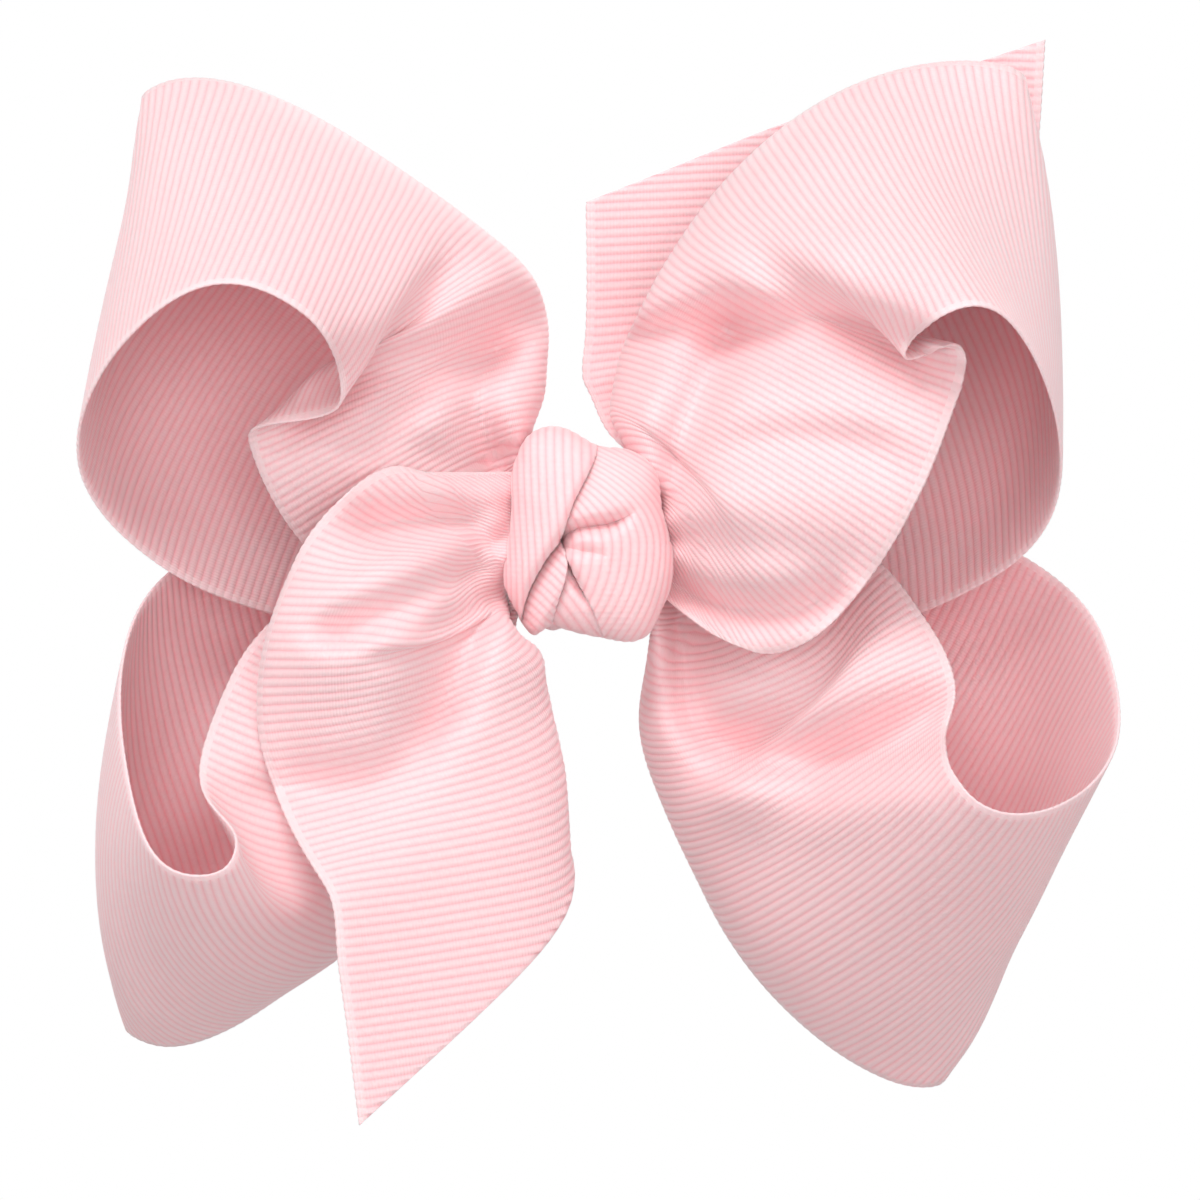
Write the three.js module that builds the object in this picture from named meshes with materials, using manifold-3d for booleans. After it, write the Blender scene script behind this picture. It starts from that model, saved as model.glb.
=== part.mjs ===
// Twisted boutique hair bow of wide grosgrain ribbon on a single-prong alligator clip.
// Millimetres. +Z is up, the front of the bow faces -Y, and +X is to the right as seen from the front.
// The origin is the middle of the clip's grip, on the hair side of the fixed jaw.
import * as THREE from 'three';
import Module from 'manifold-3d';
import { mergeVertices } from 'three/addons/utils/BufferGeometryUtils.js';

const wasm = await Module();
wasm.setup();

// ---- driving dimensions -------------------------------------------------
const bowWidth = 128; // over the tips of the loops, along X
const bowHeight = 133; // from the tail's point to the back tail's corner, along Z
const bowDepth = 48; // from the clip's grip face to the front rims, along Y
const ribbonThickness = 0.8; // the body that each ribbon span keeps for itself

const gatherHalf = 8.4; // from the middle to where the spans leave the gather
const gatherTop = 7.5; // top of the pleats above the middle
const gatherDrop = 9; // bottom of the pleats below the middle
const layerPitch = 2.9; // from one gathered layer to the next
const firstLayer = 2.6; // from the grip face to the rearmost gathered layer
const fullDepthReach = 45; // from the middle to where the spans have the bow's full depth
const coreClearance = 0.4;
const pleatDepth = 0.7;
const pleatCount = 6; // on each half of the gather's outline

const threadDiameter = 0.5;
const threadTurns = 3;
const threadPitch = 1.3;

const knotFront = 25; // front of the knot from the grip face
const knotDrape = 5.5; // how far the knot's rim reaches back over the gather
const wrapWidth = 10.6; // the knot's two ends, where they run round the clip
const wrapThickness = 0.8;
const wrapGap = 0.4;
const wrapSide = 0.6; // from the knot's room to each end's inner face
const wrapBend = 1.5; // size of the turn behind the jaw
const wrapMeet = 0.3; // from the middle to each end's edge behind the jaw

const glueDiameter = 4;
const glueGap = 0.3;

const jawThickness = 0.8;
const jawWidth = 9;
const jawTip = 25; // from the middle to the tip of the jaws
const tabEnd = 27; // from the middle to the end of the finger tabs
const pinX = 13;
const pinY = 3.6;
const pinDiameter = 1.6;
const pinClearance = 0.3;
const pinHeadDiameter = 2.8;
const pinHeadThickness = 0.6;
const earThickness = 0.6;
const earRadius = 2.6;
const earGap = 0.35;
const toothDepth = 0.9;
const toothPitch = 1.6;
const toothCount = 3;
const gripGap = 0.3; // between the closed jaws at the teeth
const toothedEnd = 5; // length of the jaw's toothed end
const jawRise = 6; // length over which the jaw rises from its toothed end to its arch
const jawArch = 3.2; // inner face of the moving jaw over the wrap
const jawNeck = 3; // length over which the arch rises to the flat over the pin
const shoulderHalf = 3; // half the length of the flat over the pin
const shoulderGap = 0.6; // from the spring to that flat
const tabFlare = 12; // outer end of the moving tab from the grip face

const springWire = 0.7;
const springTurns = 3;
const springClearance = 0.35;
const springLeg = 9; // from the pin to the end of each leg

// ---- drawn sizes of the stations below ----------------------------------
const drawnWidth = 128;
const drawnHeight = 133;
const drawnDepth = 48;

const alongSteps = 36;
const acrossSteps = 10;

// ---- materials ----------------------------------------------------------
const ribbonPink = '#f6dcdd';
const foldPink = '#efc9cc';
const nickel = '#c9cbce';

function cloth(name, color) {
  return new THREE.MeshStandardMaterial({ name, color, roughness: 0.75, metalness: 0 });
}

function metal(name, color) {
  return new THREE.MeshStandardMaterial({ name, color, roughness: 0.28, metalness: 1 });
}

const bow = new THREE.Group();

function add(name, geometry, material) {
  const mesh = new THREE.Mesh(geometry, material);
  mesh.name = name;
  bow.add(mesh);
  return mesh;
}

// ---- joining and cutting ------------------------------------------------
function solidOf(geometry) {
  const bare = geometry.clone();
  bare.deleteAttribute('normal');
  bare.deleteAttribute('uv');
  const merged = mergeVertices(bare, 1e-5);
  const triVerts = new Uint32Array(merged.index.array);
  const vertProperties = new Float32Array(merged.attributes.position.array);
  return new wasm.Manifold(new wasm.Mesh({ numProp: 3, vertProperties, triVerts }));
}

function geometryOf(solid) {
  const { vertProperties, triVerts } = solid.getMesh();
  const geometry = new THREE.BufferGeometry();
  geometry.setAttribute('position', new THREE.BufferAttribute(vertProperties, 3));
  geometry.setIndex(new THREE.BufferAttribute(triVerts, 1));
  geometry.computeVertexNormals();
  return geometry;
}

function box(from, to) {
  const size = to.map((value, axis) => value - from[axis]);
  const geometry = new THREE.BoxGeometry(...size);
  geometry.translate(...to.map((value, axis) => (value + from[axis]) / 2));
  return geometry;
}

// An outline drawn in X and Y, extruded along Z from low to high.
function plate(points, low, high) {
  const shape = new THREE.Shape(points.map(([x, y]) => new THREE.Vector2(x, y)));
  const geometry = new THREE.ExtrudeGeometry(shape, { depth: high - low, bevelEnabled: false });
  geometry.translate(0, 0, low);
  return geometry;
}

// ---- ribbon spans -------------------------------------------------------
// A station is one line across the ribbon, from the front selvage to the back selvage.
// The spans keep the gather's own depth beside it, and take the bow's further out.
function place([x, y, z]) {
  const share = THREE.MathUtils.smoothstep(Math.hypot(x, z), gatherHalf, fullDepthReach);
  const depth = 1 + (bowDepth / drawnDepth - 1) * share;
  return new THREE.Vector3((x * bowWidth) / drawnWidth, y * depth, (z * bowHeight) / drawnHeight);
}

// The line where a span meets the gather, as wide as a station has points.
function gatherLine(side, layer, from, to, count) {
  const points = [];
  for (let i = 0; i < count; i += 1) {
    const z = from + ((to - from) * i) / (count - 1);
    points.push(new THREE.Vector3(side * gatherHalf, -(firstLayer + layer * layerPitch), z));
  }
  return points;
}

function sampled(points, steps) {
  const curve = new THREE.CatmullRomCurve3(points, false, 'centripetal');
  return curve.getPoints(steps);
}

function spanGrid(stations, along, across) {
  const columns = stations[0].map((_, column) => sampled(stations.map((row) => row[column]), along));
  const grid = [];
  for (let i = 0; i <= along; i += 1) {
    grid.push(sampled(columns.map((column) => column[i]), across));
  }
  return grid;
}

function gridNormal(grid, i, j) {
  const rows = grid.length - 1;
  const columns = grid[0].length - 1;
  const along = grid[Math.min(i + 1, rows)][j].clone().sub(grid[Math.max(i - 1, 0)][j]);
  const across = grid[i][Math.min(j + 1, columns)].clone().sub(grid[i][Math.max(j - 1, 0)]);
  return along.cross(across).normalize();
}

// A closed sheet of the ribbon's thickness, with the grid in the middle of it.
function sheetGeometry(grid) {
  const rows = grid.length;
  const columns = grid[0].length;
  const position = [];
  for (const side of [1, -1]) {
    for (let i = 0; i < rows; i += 1) {
      for (let j = 0; j < columns; j += 1) {
        const offset = gridNormal(grid, i, j).multiplyScalar((side * ribbonThickness) / 2);
        const point = offset.add(grid[i][j]);
        position.push(point.x, point.y, point.z);
      }
    }
  }
  const at = (side, i, j) => (side * rows + i) * columns + j;
  const last = columns - 1;
  const index = [];
  const quad = (a, b, c, d) => index.push(a, b, c, a, c, d);
  for (let i = 0; i + 1 < rows; i += 1) {
    for (let j = 0; j + 1 < columns; j += 1) {
      quad(at(0, i, j), at(0, i + 1, j), at(0, i + 1, j + 1), at(0, i, j + 1));
      quad(at(1, i, j), at(1, i, j + 1), at(1, i + 1, j + 1), at(1, i + 1, j));
    }
    quad(at(0, i, 0), at(1, i, 0), at(1, i + 1, 0), at(0, i + 1, 0));
    quad(at(0, i, last), at(0, i + 1, last), at(1, i + 1, last), at(1, i, last));
  }
  for (let j = 0; j + 1 < columns; j += 1) {
    quad(at(0, 0, j), at(0, 0, j + 1), at(1, 0, j + 1), at(1, 0, j));
    quad(at(0, rows - 1, j), at(1, rows - 1, j), at(1, rows - 1, j + 1), at(0, rows - 1, j + 1));
  }
  const geometry = new THREE.BufferGeometry();
  geometry.setAttribute('position', new THREE.Float32BufferAttribute(position, 3));
  geometry.setIndex(index);
  geometry.computeVertexNormals();
  return geometry;
}

function loop(name, side, stations, front, back) {
  const count = stations[0].length;
  const rows = [
    gatherLine(side, front.layer, front.from, front.to, count),
    ...stations.map((row) => row.map(place)),
    gatherLine(side, back.layer, back.from, back.to, count),
  ];
  add(name, sheetGeometry(spanGrid(rows, alongSteps, acrossSteps)), cloth('ribbon', ribbonPink));
}

function tail(name, side, stations, gather) {
  const rows = [
    gatherLine(side, gather.layer, gather.from, gather.to, stations[0].length),
    ...stations.map((row) => row.map(place)),
  ];
  add(name, sheetGeometry(spanGrid(rows, alongSteps / 2, acrossSteps)), cloth('ribbon', ribbonPink));
}

// Layers are counted from the clip to the front. The upper loops gather over the
// full height, and a loop's rear end is a little narrower, so its back edges pass.
const rearInset = 2.8;
const upperFront = { layer: 4, from: -gatherDrop + 2, to: gatherTop };
const upperRear = { layer: 2, from: -gatherDrop + 2, to: gatherTop - rearInset };
const lowerFront = { layer: 3, from: gatherTop - rearInset, to: -gatherDrop };
const lowerRear = { layer: 1, from: gatherTop - rearInset, to: -gatherDrop + rearInset };

loop('loop_upper_left', -1, [
  [[-23, -17, -7], [-17, -23, 3], [-8.5, -13, 13.5], [-8.5, -1, 11]],
  [[-39.5, -26, 3], [-25, -30, 13.5], [-4.5, -14, 20.5], [-8, 3, 18.5]],
  [[-34.5, -29, 15.5], [-20, -29, 22], [-4, -12, 27], [-8.5, 5, 28]],
  [[-30.5, -41, 21.5], [-20.5, -27, 30.5], [-11.5, -8, 36.5], [-13.5, 4, 36.5]],
  [[-42.5, -48, 29], [-37, -30, 40.5], [-32.5, -7, 51], [-33, 4, 52]],
  [[-55.5, -40, 21.5], [-54.5, -27, 36.5], [-52.5, -10, 51], [-52, -2, 55.5]],
  [[-61, -28, 8.5], [-59.5, -12, 26], [-54, -3, 43], [-50.5, 1, 51]],
  [[-53, -20, -4.5], [-51.5, -7, 16], [-43.5, -1, 37.5], [-38.5, 2, 47]],
  [[-34, -10, -10.5], [-31.5, -6, 9], [-25.5, -4, 27.5], [-22.5, -3, 35.5]],
  [[-22, -8, -10], [-20, -7, 2.5], [-16.5, -6.5, 14], [-16, -6, 20]],
], upperFront, upperRear);

loop('loop_upper_right', 1, [
  [[13.5, -20, -15], [13.5, -24, -3.5], [9.5, -18, 10], [8, -7, 11]],
  [[27.5, -28, -13.5], [19, -33, 2], [3, -15, 16], [6.5, -3, 16]],
  [[40, -35, 4], [24, -34, 14], [2, -13, 23], [7, -1, 23]],
  [[44, -37, 22], [27.5, -32, 25], [6.5, -11, 31.5], [10, 0, 31]],
  [[37.5, -42, 21], [25.5, -30, 29.5], [10.5, -10, 38.5], [13, 0, 38]],
  [[44.5, -48, 26.5], [36.5, -32, 39], [28.5, -11, 53], [27.5, 0, 54]],
  [[53.5, -41, 19], [51, -28, 36.5], [46.5, -13, 53], [44.5, -4, 60]],
  [[56.5, -31, 6.5], [59, -20, 26], [56, -9, 47], [53, -4, 58]],
  [[52, -21, -5.5], [55.5, -8, 14.5], [51.5, -3, 37], [47, -1, 47.5]],
  [[35.5, -12, -11.5], [36.5, -8, 5.5], [31.5, -3, 25.5], [28, -1, 34.5]],
  [[23.5, -9, -10], [23.5, -8, 0.5], [20.5, -7, 13], [19, -6, 18]],
], upperFront, upperRear);

loop('loop_lower_left', -1, [
  [[-23, -12, -2], [-16, -13, -10], [-9.5, -8, -14.5], [-9.5, -1, -14]],
  [[-42, -25, -16.5], [-29.5, -21, -24.5], [-13.5, -7, -26.5], [-14, 2, -25.5]],
  [[-43.5, -31, -32.5], [-31.5, -23, -37], [-19.5, -7, -40], [-20, 3, -39]],
  [[-41, -39, -40], [-35.5, -26, -48], [-29, -7, -51.5], [-31, 3, -51]],
  [[-50, -41, -40], [-48.5, -26, -52], [-45, -7, -60.5], [-44.5, 2, -61]],
  [[-54.5, -35, -30], [-58, -24, -44.5], [-56.5, -9, -59], [-55.5, 0, -62.5]],
  [[-56, -25, -16], [-59.5, -13, -33.5], [-57.5, -4, -51], [-55, 0, -57.5]],
  [[-50, -14, -3.5], [-49.5, -6, -23.5], [-45, -1, -41.5], [-42, 1, -49]],
  [[-29.5, -5, 2.5], [-27, -4.5, -11.5], [-23, -3.5, -25.5], [-21.5, -2.5, -31.5]],
  [[-18, -5, 3.5], [-17, -5, -6.5], [-15.5, -4.5, -14], [-14.5, -4, -18]],
], lowerFront, lowerRear);

loop('loop_lower_right', 1, [
  [[18.5, -12, 0.5], [16, -14.5, -9], [8.5, -10, -15.5], [9, -2, -14]],
  [[36.5, -21, -5.5], [26, -22, -17.5], [5, -9, -24.5], [8.5, 2, -24.5]],
  [[42.5, -29, -17], [27.5, -26, -24.5], [9, -7, -36], [12, 3, -36.5]],
  [[41.5, -38, -24.5], [29, -26, -32], [15, -6, -47.5], [17, 3, -48.5]],
  [[45.5, -46, -31], [36, -29, -44], [26, -8, -59], [25.5, 2, -60.5]],
  [[54.5, -42, -32.5], [49.5, -28, -47.5], [41.5, -12, -63], [39, -3, -68.5]],
  [[62.5, -32, -26.5], [56, -18, -42.5], [48, -8, -58], [43.5, -4, -64.5]],
  [[63.5, -22, -14.5], [54.5, -8, -31.5], [44.5, -2, -47], [38.5, 0, -53]],
  [[55, -12.5, -3.5], [45.5, -4.5, -19], [34, -2, -33.5], [28, -1, -39]],
  [[29.5, -4.5, 2.5], [25.5, -4.5, -8.5], [19.5, -3.5, -18.5], [16.5, -3, -22]],
  [[18, -5, 3.5], [16.5, -5, -3], [14, -5, -10], [12.5, -5, -13]],
], lowerFront, lowerRear);

tail('tail_front', -1, [
  [
    [-18.5, -27, 7.5], [-16.5, -25, 4], [-13, -24, -2.5],
    [-11.5, -21, -5], [-10, -17.5, -7], [-9.5, -16, -9],
  ],
  [
    [-27, -32, 3.5], [-22.5, -33, -1], [-15, -28, -6.5],
    [-11.5, -24, -8], [-9.5, -18, -9], [-10, -16, -10.5],
  ],
  [
    [-34, -33, -5.5], [-28, -38, -8], [-16.5, -30, -9.5],
    [-11.5, -26, -9.5], [-9, -18.5, -10.5], [-10.5, -17, -12],
  ],
  [
    [-38.5, -31, -14], [-31.5, -38, -14.5], [-17, -31, -13],
    [-9.5, -26, -12.5], [-8.5, -19, -12], [-11, -18, -13.5],
  ],
  [
    [-38.5, -29, -28], [-31.5, -30, -27], [-12.5, -29, -20],
    [-4.5, -22, -16.5], [-7.5, -20, -15], [-13, -19, -16.5],
  ],
  [
    [-31, -37, -41.5], [-23.5, -34, -37.5], [-5, -27, -28],
    [-3, -20, -23], [-9, -19, -20], [-15, -19, -19.5],
  ],
  [
    [-29.5, -39, -49], [-21.5, -35, -45], [-3.5, -26, -33.5],
    [-2.5, -20, -27.5], [-9.5, -19, -23], [-16.5, -19, -21.5],
  ],
  [
    [-27.5, -41, -70.5], [-19, -37, -63], [-3, -27, -47.5],
    [-2, -20, -38], [-10, -20, -30.5], [-19, -20, -24.5],
  ],
], { layer: 5, from: gatherTop, to: -gatherDrop });

tail('tail_back', 1, [
  [[6.5, -1.2, 12], [12.5, -1.8, 7], [16.5, -2, 3.5], [20.5, -2, -3]],
  [[2.5, 2, 17], [18, 0.5, 15], [26, -0.5, 12.5], [40.5, -1.5, 7]],
  [[0, 3, 21.5], [20.5, 2.5, 23.5], [31, 2, 23.5], [51, 1, 21.5]],
  [[-1.5, 3, 29], [21.5, 4, 34], [33, 3.5, 35.5], [56, 2, 37]],
  [[-1.5, 3, 41], [22, 5, 50.5], [34.5, 4, 54.5], [58, 2, 62]],
], { layer: 0, from: gatherTop, to: -gatherDrop });

// ---- gathered core and its thread ---------------------------------------
const coreFront = firstLayer + 5 * layerPitch + ribbonThickness / 2;
const coreBack = firstLayer - ribbonThickness / 2;
const coreHalf = gatherHalf - coreClearance;

function coreOutline(grow, pleats) {
  const middleY = -(coreFront + coreBack) / 2;
  const middleZ = (gatherTop - gatherDrop) / 2;
  const halfY = (coreFront - coreBack) / 2 + grow;
  const halfZ = (gatherTop + gatherDrop) / 2 + grow;
  const steps = 48;
  const square = (value) => Math.sign(value) * Math.sqrt(Math.abs(value));
  const points = [];
  for (let i = 0; i < steps; i += 1) {
    const angle = (2 * Math.PI * i) / steps;
    const dip = pleats * pleatDepth * (0.5 - 0.5 * Math.cos(2 * pleatCount * angle));
    const y = middleY + (halfY - dip) * square(Math.cos(angle));
    const z = middleZ + (halfZ - dip) * square(Math.sin(angle));
    points.push([y, z]);
  }
  return points;
}

// Turns an outline drawn in Y and Z into a solid between two values of X.
function acrossX(points, low, high) {
  const geometry = plate(points, low, high);
  geometry.rotateZ(Math.PI / 2);
  geometry.rotateY(Math.PI / 2);
  return geometry;
}

add('pleated_core', acrossX(coreOutline(0, 1), -coreHalf, coreHalf), cloth('ribbon', foldPink));

function threadGeometry() {
  const turn = coreOutline(coreClearance + threadDiameter / 2, 0);
  const points = [];
  for (let i = 0; i <= threadTurns * turn.length; i += 1) {
    const [y, z] = turn[i % turn.length];
    const x = threadPitch * (i / turn.length - threadTurns / 2);
    points.push(new THREE.Vector3(x, y, z));
  }
  const route = new THREE.CatmullRomCurve3(points);
  const section = new THREE.Shape();
  section.absarc(0, 0, threadDiameter / 2, 0, 2 * Math.PI);
  return new THREE.ExtrudeGeometry(section, {
    steps: threadTurns * 28,
    curveSegments: 3,
    extrudePath: route,
    bevelEnabled: false,
  });
}

add('binding_thread', threadGeometry(), cloth('thread', ribbonPink));

// The beads of glue that hold the gather to the fixed jaw, one each side of the thread.
function glueBead(side) {
  const bead = new THREE.CylinderGeometry(
    glueDiameter / 2,
    glueDiameter / 2,
    coreBack - jawThickness - 2 * glueGap,
    24,
  );
  const clearOfThread = (threadTurns * threadPitch + threadDiameter + glueDiameter) / 2 + glueGap;
  bead.translate(side * clearOfThread, -(coreBack + jawThickness) / 2, 0);
  return bead;
}

for (const [word, side] of [['left', -1], ['right', 1]]) {
  const glue = new THREE.MeshStandardMaterial({ name: 'glue', color: '#f2efe6', roughness: 0.4 });
  add(`glue_bead_${word}`, glueBead(side), glue);
}

// ---- knot ---------------------------------------------------------------
const knotOutline = [
  [-7.5, 11.4], [-4.4, 12.6], [-1.6, 12], [1.5, 10.5], [4.5, 10], [7, 8.8], [8.4, 4.3], [9.2, 0.5],
  [9.8, -3], [9.4, -6.5], [7.4, -11.4], [5.8, -12.6], [0, -12], [-4.5, -11], [-6.8, -11.8],
  [-8.6, -8.8], [-9.6, -5.5], [-9.2, 0.5], [-8.8, 7],
];

// Each ring is a depth and the share of the full outline that it has there. Both ends are closed.
function knotBody(rings) {
  const outline = new THREE.CatmullRomCurve3(knotOutline.map(([x, z]) => new THREE.Vector3(x, 0, z)), true);
  const around = 40;
  const ring = outline.getPoints(around).slice(0, around);
  const position = [];
  for (const [depth, share] of rings) {
    for (const point of ring) position.push(point.x * share, -depth, point.z * share);
  }
  const index = [];
  const at = (level, i) => level * around + (i % around);
  for (let level = 0; level + 1 < rings.length; level += 1) {
    for (let i = 0; i < around; i += 1) {
      index.push(at(level, i), at(level, i + 1), at(level + 1, i + 1));
      index.push(at(level, i), at(level + 1, i + 1), at(level + 1, i));
    }
  }
  const first = position.length / 3;
  position.push(0, -rings[0][0], 0, 0, -rings[rings.length - 1][0], 0);
  for (let i = 0; i < around; i += 1) {
    index.push(first, at(0, i + 1), at(0, i));
    index.push(first + 1, at(rings.length - 1, i), at(rings.length - 1, i + 1));
  }
  const geometry = new THREE.BufferGeometry();
  geometry.setAttribute('position', new THREE.Float32BufferAttribute(position, 3));
  geometry.setIndex(index);
  return geometry;
}

const threadSpace = 2 * coreClearance + threadDiameter;
const knotInnerFront = coreFront + threadSpace;
const knotBack = coreFront - knotDrape;
const knotShell = solidOf(knotBody([
  [knotFront, 0.5],
  [knotFront - 0.6, 0.72],
  [knotFront - 1.8, 0.92],
  [knotFront - 3.2, 1],
  [knotInnerFront + 0.3, 0.97],
  [knotInnerFront - 1.2, 0.9],
  [knotBack + 2, 0.9],
  [knotBack, 0.94],
]));
const knotRoom = solidOf(box(
  [-bowWidth, -knotInnerFront, -gatherDrop - threadSpace],
  [bowWidth, 0, gatherTop + threadSpace],
));
const wrapSides = solidOf(box(
  [-wrapWidth / 2, -knotInnerFront, -bowHeight],
  [wrapWidth / 2, 0, bowHeight],
));
const knotHead = solidOf(box([-bowWidth, -knotFront - 1, -bowHeight], [bowWidth, -knotInnerFront, bowHeight]));
const knot = knotShell.intersect(wrapSides.add(knotHead)).subtract(knotRoom);
add('center_knot', geometryOf(knot), cloth('ribbon', ribbonPink));

// Each end of the knot's ribbon runs back over the gather and folds in behind the fixed jaw.
function wrapEnd(sign, inner) {
  const outer = inner + wrapThickness;
  const back = wrapGap + wrapThickness;
  const front = wrapGap - knotBack;
  const points = [
    [front, inner],
    [wrapGap - wrapBend, inner],
    [wrapGap, inner - wrapBend],
    [wrapGap, wrapMeet],
    [back, wrapMeet],
    [back, outer - wrapBend],
    [back - wrapBend, outer],
    [front, outer],
  ].map(([y, z]) => [y, sign * z]);
  return acrossX(sign > 0 ? points : points.reverse(), -wrapWidth / 2, wrapWidth / 2);
}

add('knot_end_upper', wrapEnd(1, gatherTop + threadSpace + wrapSide), cloth('ribbon', ribbonPink));
add('knot_end_lower', wrapEnd(-1, gatherDrop + threadSpace + wrapSide), cloth('ribbon', ribbonPink));

// ---- clip ---------------------------------------------------------------
function pinHole(diameter, low, high) {
  const hole = new THREE.CylinderGeometry(diameter / 2, diameter / 2, high - low, 24);
  hole.rotateX(Math.PI / 2);
  hole.translate(pinX, pinY, (low + high) / 2);
  return solidOf(hole);
}

const topEarOuter = jawWidth / 2;
const topEarInner = topEarOuter - earThickness;
const lowEarOuter = topEarInner - earGap;
const lowEarInner = lowEarOuter - earThickness;

// The cheeks that hold the pin, drawn as a round end on a straight foot.
function ear(footY, low, high) {
  const points = [[pinX + earRadius, footY], [pinX - earRadius, footY]];
  const away = Math.sign(pinY - footY);
  const steps = 12;
  for (let i = 0; i <= steps; i += 1) {
    const angle = Math.PI - (Math.PI * i) / steps;
    points.push([pinX + earRadius * Math.cos(angle), pinY + away * earRadius * Math.sin(angle)]);
  }
  return solidOf(plate(away > 0 ? points.reverse() : points, low, high));
}

function jaw(profile, half, footY, inner, outer) {
  let solid = solidOf(plate(profile, -half, half));
  for (const side of [-1, 1]) {
    const low = side > 0 ? inner : -outer;
    solid = solid.add(ear(footY, low, low + outer - inner));
  }
  return solid.subtract(pinHole(pinDiameter + 2 * pinClearance, -jawWidth, jawWidth));
}

const topProfile = [
  [-jawTip, -jawThickness],
  [tabEnd, -jawThickness],
  [tabEnd, 0],
  [-jawTip, 0],
];
const topJaw = jaw(topProfile, jawWidth / 2, -jawThickness / 2, topEarInner, topEarOuter);
add('clip_top_jaw', geometryOf(topJaw), metal('clip metal', nickel));

const springRadius = pinDiameter / 2 + springClearance + springWire / 2;
const shoulderY = pinY + springRadius + springWire / 2 + shoulderGap;
const tabStart = pinX + shoulderHalf;
const tabRise = tabFlare - jawThickness - shoulderY;

// The inner face of the moving tab, by its distance from the middle.
function tabInner(x) {
  return shoulderY + (tabRise * (x - tabStart)) / (tabEnd - tabStart);
}

function lowerProfile() {
  const archStart = toothedEnd + jawRise - jawTip;
  const archEnd = pinX - shoulderHalf - jawNeck;
  const inner = [];
  for (let i = 0; i < toothCount; i += 1) {
    inner.push([i * toothPitch - jawTip, gripGap]);
    inner.push([(i + 0.5) * toothPitch - jawTip, gripGap + toothDepth]);
  }
  inner.push([toothedEnd - jawTip, gripGap + toothDepth]);
  inner.push([archStart, jawArch], [archEnd, jawArch]);
  inner.push([pinX - shoulderHalf, shoulderY], [tabStart, shoulderY], [tabEnd, tabInner(tabEnd)]);
  const outer = [
    [tabEnd, tabFlare],
    [tabStart, shoulderY + jawThickness],
    [pinX - shoulderHalf, shoulderY + jawThickness],
    [archEnd, jawArch + jawThickness],
    [archStart, jawArch + jawThickness],
    [toothedEnd - jawTip, gripGap + toothDepth + jawThickness],
    [-jawTip, gripGap + toothDepth + jawThickness],
  ];
  return [...inner, ...outer];
}

const lowerJaw = jaw(lowerProfile(), lowEarOuter, shoulderY + jawThickness / 2, lowEarInner, lowEarOuter);
add('clip_lower_jaw', geometryOf(lowerJaw), metal('clip metal', nickel));

// The rivet pin: a shank with a head formed over each outer cheek.
function pinGeometry() {
  const shank = pinDiameter / 2;
  const head = pinHeadDiameter / 2;
  const near = topEarOuter + pinClearance;
  const far = near + pinHeadThickness;
  const profile = [
    [0, -far], [head, -far], [head, -near], [shank, -near],
    [shank, near], [head, near], [head, far], [0, far],
  ];
  const geometry = new THREE.LatheGeometry(profile.map(([r, h]) => new THREE.Vector2(r, h)), 24);
  geometry.rotateX(Math.PI / 2);
  geometry.translate(pinX, pinY, 0);
  return geometry;
}

add('clip_pin', pinGeometry(), metal('pin metal', nickel));

// Torsion spring round the pin: its two legs push the finger tabs apart.
function springRoute() {
  const pitch = springWire + springClearance;
  const turns = springTurns + 0.5;
  const stepsPerTurn = 16;
  const halfHeight = (turns * pitch) / 2;
  const fixedLegY = springWire / 2 + springClearance;
  const movingLegY = tabInner(pinX + springLeg) - springWire - springClearance;
  const leg = (from, to, z) => [
    new THREE.Vector3(pinX + springLeg, to, z),
    new THREE.Vector3(pinX + springLeg / 2, from + (to - from) / 4, z),
  ];
  const points = leg(pinY - springRadius, fixedLegY, -halfHeight);
  for (let i = 0; i <= turns * stepsPerTurn; i += 1) {
    const angle = -Math.PI / 2 - (2 * Math.PI * i) / stepsPerTurn;
    const x = pinX + springRadius * Math.cos(angle);
    const y = pinY + springRadius * Math.sin(angle);
    points.push(new THREE.Vector3(x, y, (pitch * i) / stepsPerTurn - halfHeight));
  }
  return [...points, ...leg(pinY + springRadius, movingLegY, halfHeight).reverse()];
}

function wireGeometry(points, diameter, steps) {
  const section = new THREE.Shape();
  section.absarc(0, 0, diameter / 2, 0, 2 * Math.PI);
  return new THREE.ExtrudeGeometry(section, {
    steps,
    curveSegments: 3,
    extrudePath: new THREE.CatmullRomCurve3(points),
    bevelEnabled: false,
  });
}

add('clip_spring', wireGeometry(springRoute(), springWire, 100), metal('spring metal', nickel));

export default bow;
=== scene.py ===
"""Looks of the twisted boutique hair bow: ribbed ribbon spans, tied knot, clip, light and camera."""

import math

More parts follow.
